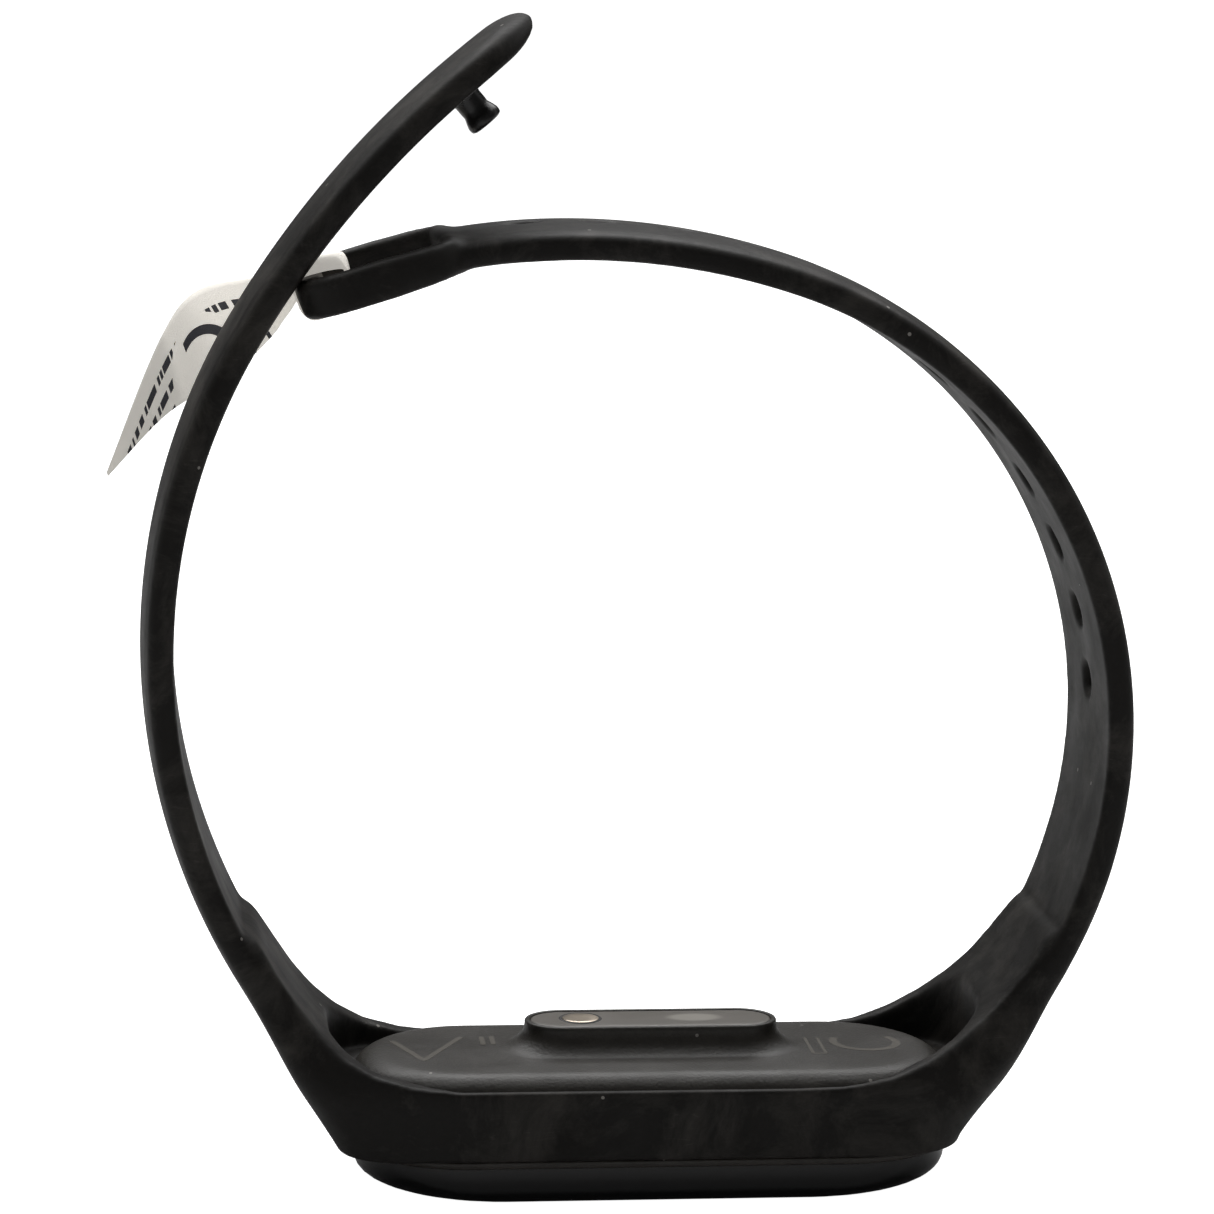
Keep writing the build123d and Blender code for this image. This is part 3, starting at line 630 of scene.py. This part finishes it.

# ------------------------------------------------------------------ front frame
# Injection moulded in black glass-filled plastic. Its thin lip stands out all round between the
# glass and the strap, and stops the strap from sliding off towards the screen.
# its grain peaks are painted over twice as light as the base, as painted speckle highlights on the grain
housing_material = finish_material(
    "fine grained housing", (0.0130, 0.0112, 0.0088), 0.43, grain=(0.00024, 0.00005), spread=0.07, dust=0.06,
    specular=0.36, film=0.16, speckle_highlight_colour=(0.030, 0.027, 0.022))
rings = [pill_ring(x, y, 8.8, z) for x, y, z in (
    (22.9, 8.8, 2.95), (23.35, 9.22, 3.0), (23.53, 9.4, 3.12), (23.55, 9.42, 3.5), (23.5, 9.37, 3.62),
    (23.2, 9.07, 3.66), (23.18, 9.06, 4.6), (22.3, 8.2, 4.6))]
show(stacked("front_lip", rings), housing_material, "tracker", "housing_plastic", "front_frame")

# ------------------------------------------------------------------ back shell
# A cup moulded in the frame's plastic and bonded to it. Its roof rounds over at the edge and
# sweeps up in the middle into the island that presses the sensor against the wrist.
shell_rings = [(23.17, 9.05, 8.55, 4.7), (23.18, 9.06, 8.6, 6.0), (23.18, 9.06, 8.6, 8.2)]
for a in arc_steps(9):
    inset = 1 - math.cos(a)
    shell_rings.append((23.18 - 2.6 * inset, 9.06 - 1.9 * inset, 8.6 - 1.9 * inset, 8.2 + 1.85 * math.sin(a)))
shell_rings += [(18.5, 6.4, 6.2, 10.12), (14.5, 5.0, 4.9, 10.17), (12.2, 4.35, 4.3, 10.22)]
for t in np.linspace(0, 1, 9):
    flare = (1 - t) ** 2.6
    shell_rings.append((9.85 + 1.55 * flare, 2.95 + 1.05 * flare, 2.9 + 1.0 * flare, 10.3 + 1.95 * t))
shell_rings += [(9.78, 2.85, 2.84, 12.35), (9.68, 2.76, 2.75, 12.39), (9.5, 2.6, 2.59, 12.38),
                (9.42, 2.5, 2.49, 12.3), (9.42, 2.5, 2.49, 11.65)]
shell = show(stacked("shell_skin", [pill_ring(*r) for r in shell_rings]), housing_material, "tracker",
             "housing_plastic", "back_shell")
bpy.context.view_layer.update()

# Pad-printed marks in faint grey ink lie on the shell's roof: an open ring, a bent line and some
# bars. They are plain strokes with no meaning, laid on the curved roof.
INK_LIFT, INK_DEPTH = 0.012, 0.01
mark_material = finish_material("faint grey print", (0.056, 0.050, 0.040), 0.5, specular=0.35)


def stroke(points, width):
    """Ribbon that follows points over the roof, as point and face lists."""
    made, faces = [], []
    for k, (x, y) in enumerate(points):
        before, after = points[max(k - 1, 0)], points[min(k + 1, len(points) - 1)]
        heading = math.atan2(after[1] - before[1], after[0] - before[0])
        dx, dy = -math.sin(heading) * width / 2, math.cos(heading) * width / 2
        for px, py in ((x + dx, y + dy), (x, y), (x - dx, y - dy)):
            _, place, _, _ = shell.ray_cast((px * mm, py * mm, 0.02), (0, 0, -1))
            made.append((px, py, place.z / mm + INK_LIFT))
    for k in range(len(points) - 1):
        faces += [(3 * k + i, 3 * k + i + 1, 3 * k + i + 4, 3 * k + i + 3) for i in (0, 1)]
    return made, faces


RING_X, RING_Y, RING_R = 17.0, 0.4, 2.5
arc = [(RING_X + RING_R * math.cos(math.radians(a)), RING_Y + RING_R * math.sin(math.radians(a)))
       for a in range(150, 401, 10)]

def dense(corners, parts_each=12):
    """The same line with more points along it, so that it lies on the curved roof."""
    return [tuple(a[c] + (b[c] - a[c]) * k / parts_each for c in (0, 1))
            for a, b in zip(corners, corners[1:]) for k in range(parts_each)] + [corners[-1]]


strokes = [(arc, 0.62), (dense([(-20.0, 2.6), (-17.9, -3.6), (-14.6, 3.2)]), 0.5)]
strokes += [([(x, 0.6), (x, 3.2)], 0.4) for x in (-13.0, -12.2)]
strokes += [([(x, -3.2), (x, 1.6)], 0.25) for x in (12.4, 13.4)] + [([(12.4, -3.2), (13.4, -3.2)], 0.25)]
mark_points, mark_faces = [], []
for points, width in strokes:
    made, faces = stroke(points, width)
    mark_faces += [tuple(len(mark_points) + i for i in f) for f in faces]
    mark_points += [tuple(c * mm for c in p) for p in made]
marks_piece = mesh_object("roof_print", mark_points, mark_faces)
skin = marks_piece.modifiers.new("ink", "SOLIDIFY")
skin.thickness, skin.offset = INK_DEPTH * mm, 0
show(marks_piece, mark_material, "tracker", "housing_plastic", smooth=False)

# ------------------------------------------------------------------ sensor lens
# A lens of smoked polycarbonate, polished and bonded into the top of the island. A paler oval
# shows where the tint is left thin over the green emitters and the photodiode.
lens_material = finish_material(
    "smoked sensor lens", (0.115, 0.106, 0.095), 0.34, grain=(0.0002, 0.0000006), spread=0.05, dust=0.03,
    specular=0.5)
tree = lens_material.node_tree
lens_surface = next(made for made in tree.nodes if made.type == "BSDF_PRINCIPLED")
OVAL_X, OVAL_HALF_X, OVAL_HALF_Y = 0.0034, 0.0021, 0.0011
coords = node(tree, "ShaderNodeTexCoord").outputs["Object"]
window = node(tree, "ShaderNodeMapping", {"Vector": coords, "Location": (-OVAL_X / OVAL_HALF_X, 0, 0),
                                          "Scale": (1 / OVAL_HALF_X, 1 / OVAL_HALF_Y, 0)})
reach = node(tree, "ShaderNodeVectorMath", {0: window}, operation="LENGTH")
patch = node(tree, "ShaderNodeMapRange", {"Value": reach.outputs["Value"], "From Min": 1.15, "From Max": 0.8})
tinted = node(tree, "ShaderNodeMix", {"Factor": patch, 7: (0.26, 0.245, 0.22, 1)}, data_type="RGBA")
tree.links.new(lens_surface.inputs["Base Color"].links[0].from_socket, tinted.inputs[6])
tree.links.new(tinted.outputs[2], lens_surface.inputs["Base Color"])
lens_rings = [(9.4, 2.45, 11.65), (9.4, 2.45, 12.2), (9.36, 2.41, 12.29), (9.2, 2.28, 12.33),
              (8.6, 1.9, 12.36), (7.6, 1.2, 12.38), (6.8, 0.5, 12.39)]
show(stacked("lens_window", [pill_ring(x, y, y * 0.998, z) for x, y, z in lens_rings], True, True),
     lens_material, "tracker", "lens_plastic", "sensor_lens")


# ------------------------------------------------------------------ contacts
# The skin contact is a turned and plated disc in a soft ring on the island. Two smaller plated
# pads, for charging, are moulded into the roof behind it and stand a hair proud.
def turned(name, profile, place, sides=48):
    """Lathe of a radius and height profile, closed at both ends, in millimetres."""
    around = [(math.cos(2 * math.pi * k / sides), math.sin(2 * math.pi * k / sides)) for k in range(sides)]
    rings = [[(place[0] + r * c, place[1] + r * sn, z) for c, sn in around] for r, z in profile]
    return stacked(name, rings, close_low=True, close_high=True)


CONTACT_PLACE, PAD_X, PAD_Y = (-5.5, 0), 3.2, 5.9
contact_material = finish_material(
    "brushed contact plating", (0.52, 0.45, 0.37), 0.30, grain=(0.00005, 0.000002), spread=0.08, metal=1.0)
rubber_material = finish_material("soft seal rubber", (0.006, 0.0058, 0.0055), 0.6)
contact_profile = [(1.2, 10.6), (1.3, 12.3), (1.42, 12.36), (1.44, 12.41), (1.36, 12.45), (0.9, 12.45),
                   (0.1, 12.44)]
show(turned("skin_contact", contact_profile, CONTACT_PLACE), contact_material, "tracker", "contact_metal",
     "wear_contact")
ring_profile = [(1.46, 11.66), (1.72, 11.66), (1.72, 12.36), (1.62, 12.43), (1.5, 12.4)]
show(turned("contact_ring", ring_profile, CONTACT_PLACE), rubber_material, "tracker", "seal_rubber",
     "contact_seal")
pad_profile = [(1.18, 9.35), (1.2, 10.1), (1.12, 10.22), (0.95, 10.25), (0.8, 10.18), (0.1, 10.14)]
for side, name in ((-1, "charge_pad_left"), (1, "charge_pad_right")):
    show(turned(name + "_disc", pad_profile, (side * PAD_X, PAD_Y)), contact_material, "tracker",
         "contact_metal", name)

# ------------------------------------------------------------------ fastening stud
# A peg moulded in hard glossy plastic and pressed through the tail near its end. Its shank is
# waisted and its head is flared and slightly hollow, so that it snaps into a hole of the strap.
STUD_AT = 89.3
stud_material = finish_material("glossy stud plastic", (0.0045, 0.004, 0.004), 0.34, specular=0.4)
x, z, a = arm_station("tail", STUD_AT)
inward = Vector((math.sin(a), 0, math.cos(a)))
across = Vector((0, 1, 0))
lean_axis = inward.cross(across)
stud_profile = [(1.0, 0.2), (1.3, 0.9), (1.32, 1.35), (1.28, 1.5), (1.18, 1.65), (1.12, 1.95), (1.12, 2.6),
                (1.1, 2.9), (1.27, 3.35), (1.38, 3.7), (1.38, 3.95), (1.32, 4.15), (1.1, 4.26), (0.7, 4.2),
                (0.1, 4.15)]
rings = []
for radius, height in stud_profile:
    centre = Vector((x, 0, z)) + inward * height
    rings.append([tuple(centre + across * (radius * math.cos(2 * math.pi * k / 40))
                        + lean_axis * (radius * math.sin(2 * math.pi * k / 40))) for k in range(40)])
show(stacked("stud_peg", rings, True, True), stud_material, "tail_end", "stud_plastic", "fastening_stud")

# ------------------------------------------------------------------ packing label
# A slip of printed paper that goes through the loop and is taped round its end bar. The long end
# hangs free behind the tail and is creased across, so its lower corner turns away from the light; the
# paper also glows with a painted glow, which is turned down past the crease as painted shade.
# Its print is rows of plain bars and an open ring, worked out from the place on the sheet.
paper = bpy.data.materials.new("printed paper")
paper.use_nodes = True
tree = paper.node_tree
tree.nodes.clear()
place = node(tree, "ShaderNodeAttribute", attribute_name="sheet")
split = node(tree, "ShaderNodeSeparateXYZ", {"Vector": place.outputs["Vector"]})
row_share = maths(tree, "MULTIPLY", split.outputs[1], 1 / 1.55)
row = maths(tree, "FRACT", row_share)
in_row = maths(tree, "LESS_THAN", row, 0.42)
row_number = maths(tree, "FLOOR", row_share)
word_share = maths(tree, "MULTIPLY", split, 1.9)
word_place = node(tree, "ShaderNodeCombineXYZ", {0: word_share, 1: row_number})
words = node(tree, "ShaderNodeTexNoise", {"Vector": word_place, "Scale": 1.0, "Detail": 0.0})
inked = maths(tree, "GREATER_THAN", words.outputs["Fac"], 0.46)
top_margin = maths(tree, "GREATER_THAN", split.outputs[1], 0.9)
end_margin = maths(tree, "GREATER_THAN", split, 4.4)
margin = maths(tree, "MULTIPLY", top_margin, end_margin)
bars_all = maths(tree, "MULTIPLY", in_row, inked)
bars = maths(tree, "MULTIPLY", bars_all, margin)
from_ring = node(tree, "ShaderNodeVectorMath", {0: place.outputs["Vector"], 1: (9.6, 4.6, 0)},
                 operation="DISTANCE")
ring_mid = maths(tree, "SUBTRACT", from_ring.outputs["Value"], 2.1)
ring_abs = maths(tree, "ABSOLUTE", ring_mid)
ring_all = maths(tree, "LESS_THAN", ring_abs, 0.34)
open_side = maths(tree, "LESS_THAN", split, 10.4)
ring = maths(tree, "MULTIPLY", ring_all, open_side)
clear = maths(tree, "GREATER_THAN", from_ring.outputs["Value"], 3.3)
bars_clear = maths(tree, "MULTIPLY", bars, clear)
ink = maths(tree, "MAXIMUM", bars_clear, ring)
fibre = node(tree, "ShaderNodeTexNoise", {"Scale": 1600.0, "Detail": 4.0})
sheet_colour = node(tree, "ShaderNodeMix", {"Factor": fibre.outputs["Fac"], 6: (0.84, 0.80, 0.73, 1),
                                            7: (0.92, 0.89, 0.83, 1)}, data_type="RGBA")
printed = node(tree, "ShaderNodeMix", {"Factor": ink, 6: sheet_colour.outputs[2],
                                       7: (0.03, 0.03, 0.035, 1)}, data_type="RGBA")
wrinkle = node(tree, "ShaderNodeTexNoise", {"Scale": 220.0, "Detail": 3.0})
relief = node(tree, "ShaderNodeBump", {"Height": wrinkle.outputs["Fac"], "Distance": 0.00012})
# painted glow: the paper glows as if lit through the sheet, and glows less past the crease as painted shade
painted_glow_strength = maths(tree, "MULTIPLY_ADD", split.outputs[2], -0.22, 0.42)
surface = node(tree, "ShaderNodeBsdfPrincipled", {"Base Color": printed.outputs[2], "Roughness": 0.62,
                                                  "Normal": relief, "Specular IOR Level": 0.3,
                                                  "Emission Color": printed.outputs[2],
                                                  "Emission Strength": painted_glow_strength})
node(tree, "ShaderNodeOutputMaterial", {"Surface": surface})

# the hanging slip: its upper and lower edges, from the loop's end bar to the free corner, and how
# far back it lies: out behind the tail, forward again to the crease, then back to the corner
upper = [(-27.6, 69.6), (-29.4, 69.0), (-31.5, 68.7), (-34.8, 68.1), (-36.9, 66.3), (-39.0, 61.8),
         (-42.1, 53.4)]
lower = [(-27.4, 67.5), (-28.1, 66.0), (-29.0, 64.5), (-31.4, 62.3), (-34.7, 60.4), (-37.8, 58.0),
         (-42.0, 53.1)]
columns, sheet_rows, CREASE = 36, 14, 0.74


def along_points(points, t):
    """Point at share t of a polyline with rounded corners."""
    at = t * (len(points) - 1)
    k = min(int(at), len(points) - 2)
    f = at - k
    before, a0, a1, after = (points[min(max(k + i, 0), len(points) - 1)] for i in (-1, 0, 1, 2))
    return [0.5 * (2 * p1 + (p2 - p0) * f + (2 * p0 - 5 * p1 + 4 * p2 - p3) * f * f
                   + (3 * p1 - p0 - 3 * p2 + p3) * f ** 3) for p0, p1, p2, p3 in zip(before, a0, a1, after)]


sheet_points, sheet_place_and_shade = [], []
run = 0.0
last_high = upper[0]
for k in range(columns + 1):
    t = k / columns
    high, low = along_points(upper, t), along_points(lower, t)
    run += math.dist(high, last_high)
    last_high = high
    wide = math.dist(high, low)
    depth = 8.9 + 4.4 * smooth(t / 0.3) - 4.2 * smooth((t - 0.3) / 0.42)
    depth += 4.9 * max(0.0, t - CREASE) / (1 - CREASE)
    for r in range(sheet_rows + 1):
        w = r / sheet_rows
        px, pz = high[0] * (1 - w) + low[0] * w, high[1] * (1 - w) + low[1] * w
        bowed = depth - 0.7 * math.sin(math.pi * w) * smooth(t / 0.3) * (1 - t)
        sheet_points.append((px * mm, bowed * mm, pz * mm))
        # the third value rises past the crease, where the paper's painted glow is turned down as painted shade
        sheet_place_and_shade.append((run, wide * w, smooth((t - CREASE + 0.01) / 0.03)))
sheet_faces = []
for k in range(columns):
    for r in range(sheet_rows):
        a = k * (sheet_rows + 1) + r
        sheet_faces.append((a, a + 1, a + sheet_rows + 2, a + sheet_rows + 1))
slip = mesh_object("label_slip", sheet_points, sheet_faces)
attribute = slip.data.attributes.new("sheet", "FLOAT_VECTOR", "POINT")
attribute.data.foreach_set("vector", np.array(sheet_place_and_shade).ravel())
stiff = slip.modifiers.new("paper", "SOLIDIFY")
stiff.thickness, stiff.offset = 0.12 * mm, 0
bpy.context.scene.collection.objects.link(slip)
show(slip, paper, "loop_end", "label_paper", "packing_label")

# the part of the slip that goes through the slot and round the end bar, in its bar's own section
x0, z0, _ = arm_station("loop", LOOP_START)
along_loop = Vector((math.cos(LOOP_TILT), 0, math.sin(LOOP_TILT)))
off_loop = Vector((math.sin(LOOP_TILT), 0, -math.cos(LOOP_TILT)))
BAR_AT, BAR_REACH, BAR_LIFT, BAND_FROM, BAND_WIDTH = 10.75, 2.12, 1.67, -5.6, 14.4
band_points, band_place, band_rows, band_levels = [], [], 48, 14
for level in range(band_levels):
    y = BAND_FROM + BAND_WIDTH * level / (band_levels - 1)
    back = 0.42 * max(0.0, y - 6.2) ** 1.5
    for k in range(band_rows):
        a = 2 * math.pi * k / band_rows
        c, sn = math.cos(a), math.sin(a)
        reach = BAR_AT - 0.35 * back + (BAR_REACH + 0.1 * math.sin(3 * a)) * math.copysign(abs(c) ** 0.55, c)
        lift = (BAR_LIFT + 0.05 * math.cos(5 * a)) * math.copysign(abs(sn) ** 0.55, sn)
        at = Vector((x0 * mm, 0, z0 * mm)) + along_loop * (reach * mm) + off_loop * (lift * mm)
        band_points.append((at.x, y * mm, at.z))
        band_place.append((0, -1, 0))
band_faces = []
for level in range(band_levels - 1):
    for k in range(band_rows):
        a, b = level * band_rows + k, level * band_rows + (k + 1) % band_rows
        band_faces.append((a, a + band_rows, b + band_rows, b))
band = mesh_object("label_band", band_points, band_faces)
attribute = band.data.attributes.new("sheet", "FLOAT_VECTOR", "POINT")
attribute.data.foreach_set("vector", np.array(band_place, dtype=float).ravel())
thick = band.modifiers.new("paper", "SOLIDIFY")
thick.thickness, thick.offset = 0.1 * mm, 0
show(band, paper, "loop_end", "label_paper", "packing_label")

# ------------------------------------------------------------------ inside the capsule
# The boards, chips, cell, vibration motor, magnets and seals are stacked between glass and shell,
# bonded or soldered in place. They keep their designed shapes and get finishes of their own:
# colour, roughness, metal or not, and the pieces that have it.
INSIDE = {
    "panel laminate": ((0.008, 0.008, 0.012), 0.12, 0.0, ("touch_panel",)),
    "rolled tray steel": ((0.45, 0.45, 0.46), 0.34, 1.0, ("display_tray",)),
    "amber flex print": ((0.30, 0.12, 0.02), 0.42, 0.0, ("display_ribbon", "sensor_ribbon", "charge_ribbon",
                                                        "antenna_strip")),
    "black adhesive": ((0.01, 0.01, 0.01), 0.7, 0.0, ("frame_seal", "motor_pad")),
    "solder mask board": ((0.006, 0.05, 0.03), 0.38, 0.0, ("main_board", "sensor_board")),
    "clear led resin": ((0.35, 0.55, 0.30), 0.2, 0.0, ("green_led_inner", "green_led_outer")),
    "black chip resin": ((0.012, 0.012, 0.013), 0.5, 0.0, ("processor_chip", "radio_chip", "motion_sensor",
                                                          "photodiode", "light_shroud")),
    "tinned shield": ((0.55, 0.55, 0.53), 0.3, 1.0, ("radio_shield", "battery_tab")),
    "nickel plate": ((0.62, 0.6, 0.56), 0.22, 1.0, ("charge_magnet_left", "charge_magnet_right")),
    "cell foil": ((0.55, 0.56, 0.58), 0.3, 1.0, ("battery_cell",)),
    "grey foam": ((0.05, 0.05, 0.05), 0.85, 0.0, ("battery_foam",)),
    "motor steel": ((0.5, 0.5, 0.5), 0.26, 1.0, ("motor_base", "motor_can", "motor_weight")),
}
for name, (colour, rough, metal, stood) in INSIDE.items():
    finish = finish_material(name, colour, rough, metal=metal, spread=min(0.06, rough / 2))
    for part in stood:
        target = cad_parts[part]
        if not target.material_slots:
            target.data.materials.append(finish)
        for slot in target.material_slots:
            slot.link = "OBJECT"
            slot.material = finish

# ------------------------------------------------------------------ studio
# Seamless paper runs back under the band and curves up, and is white where the camera sees it.
# It gives little light back, so that the black strap and the glass keep their depth.
FLOOR_FRONT, FLOOR_BACK, FLOOR_CURVE, FLOOR_TOP, FLOOR_HALF_WIDTH = -3.0, 1.6, 0.8, 6.0, 6.0
sweep = [(FLOOR_FRONT, 0.0), (FLOOR_BACK, 0.0)]
sweep += [(FLOOR_BACK + FLOOR_CURVE * math.sin(a), FLOOR_CURVE - FLOOR_CURVE * math.cos(a))
          for a in (math.radians(6 * k) for k in range(1, 16))]
sweep.append((FLOOR_BACK + FLOOR_CURVE, FLOOR_TOP))
floor = mesh_object("floor", [(x, y, z) for y, z in sweep for x in (-FLOOR_HALF_WIDTH, FLOOR_HALF_WIDTH)],
                    [(2 * k, 2 * k + 1, 2 * k + 3, 2 * k + 2) for k in range(len(sweep) - 1)])
floor_material = bpy.data.materials.new("seamless paper")
floor_material.use_nodes = True
tree = floor_material.node_tree
tree.nodes.clear()
matt = node(tree, "ShaderNodeBsdfDiffuse", {"Color": (0.55, 0.55, 0.55, 1)})
glow = node(tree, "ShaderNodeEmission", {"Color": (1, 1, 1, 1), "Strength": 1.0})
seen = node(tree, "ShaderNodeLightPath")
lit = node(tree, "ShaderNodeAddShader", {0: matt, 1: glow})
either = node(tree, "ShaderNodeMixShader", {0: seen.outputs["Is Camera Ray"], 1: matt, 2: lit})
node(tree, "ShaderNodeOutputMaterial", {"Surface": either})
floor.data.materials.append(floor_material)
bpy.context.scene.collection.objects.link(floor)

world = bpy.data.worlds.new("studio")
world.use_nodes = True
world.node_tree.nodes["Background"].inputs["Color"].default_value = (1, 1, 1, 1)
world.node_tree.nodes["Background"].inputs["Strength"].default_value = 0.13
bpy.context.scene.world = world


def soft_light(name, place, size, power, aim=(0, 0, 0.04)):
    """Rectangular soft light at place, turned towards the band; size in metres, power in watts."""
    lamp = bpy.data.lights.new(name, "AREA")
    lamp.shape, lamp.size, lamp.size_y, lamp.energy = "RECTANGLE", size[0], size[1], power
    obj = bpy.data.objects.new(name, lamp)
    obj.location = place
    obj.rotation_euler = (Vector(aim) - Vector(place)).to_track_quat("-Z", "Y").to_euler()
    bpy.context.scene.collection.objects.link(obj)


soft_light("overhead", place=(0.0, 0.32, 0.9), size=(1.3, 1.1), power=19.0)
soft_light("left", place=(-0.9, 0.1, 0.45), size=(0.5, 0.8), power=0.35)
soft_light("right", place=(0.9, 0.1, 0.4), size=(0.4, 0.7), power=0.35)

# the camera stands low and a little to the left, and looks slightly down
CAMERA_X, CAMERA_Y, CAMERA_Z = -39.03, -325.9, 95.1
yaw, pitch, roll = math.radians(6.153), math.radians(8.73), math.radians(-0.856)
forward = Vector((math.sin(yaw) * math.cos(pitch), math.cos(yaw) * math.cos(pitch), -math.sin(pitch)))
right = Vector((math.cos(yaw), -math.sin(yaw), 0))
down = forward.cross(right)
level_right = right * math.cos(roll) + down * math.sin(roll)
level_down = down * math.cos(roll) - right * math.sin(roll)
camera_data = bpy.data.cameras.new("camera")
camera_data.sensor_width = 36.0
camera_data.lens = 128.2
camera_data.clip_start, camera_data.clip_end = 0.01, 50
camera = bpy.data.objects.new("camera", camera_data)
camera.matrix_world = Matrix((
    (level_right.x, -level_down.x, -forward.x, CAMERA_X * mm),
    (level_right.y, -level_down.y, -forward.y, CAMERA_Y * mm),
    (level_right.z, -level_down.z, -forward.z, CAMERA_Z * mm),
    (0, 0, 0, 1)))
bpy.context.scene.collection.objects.link(camera)
bpy.context.scene.camera = camera
bpy.context.scene.view_settings.view_transform = "Standard"
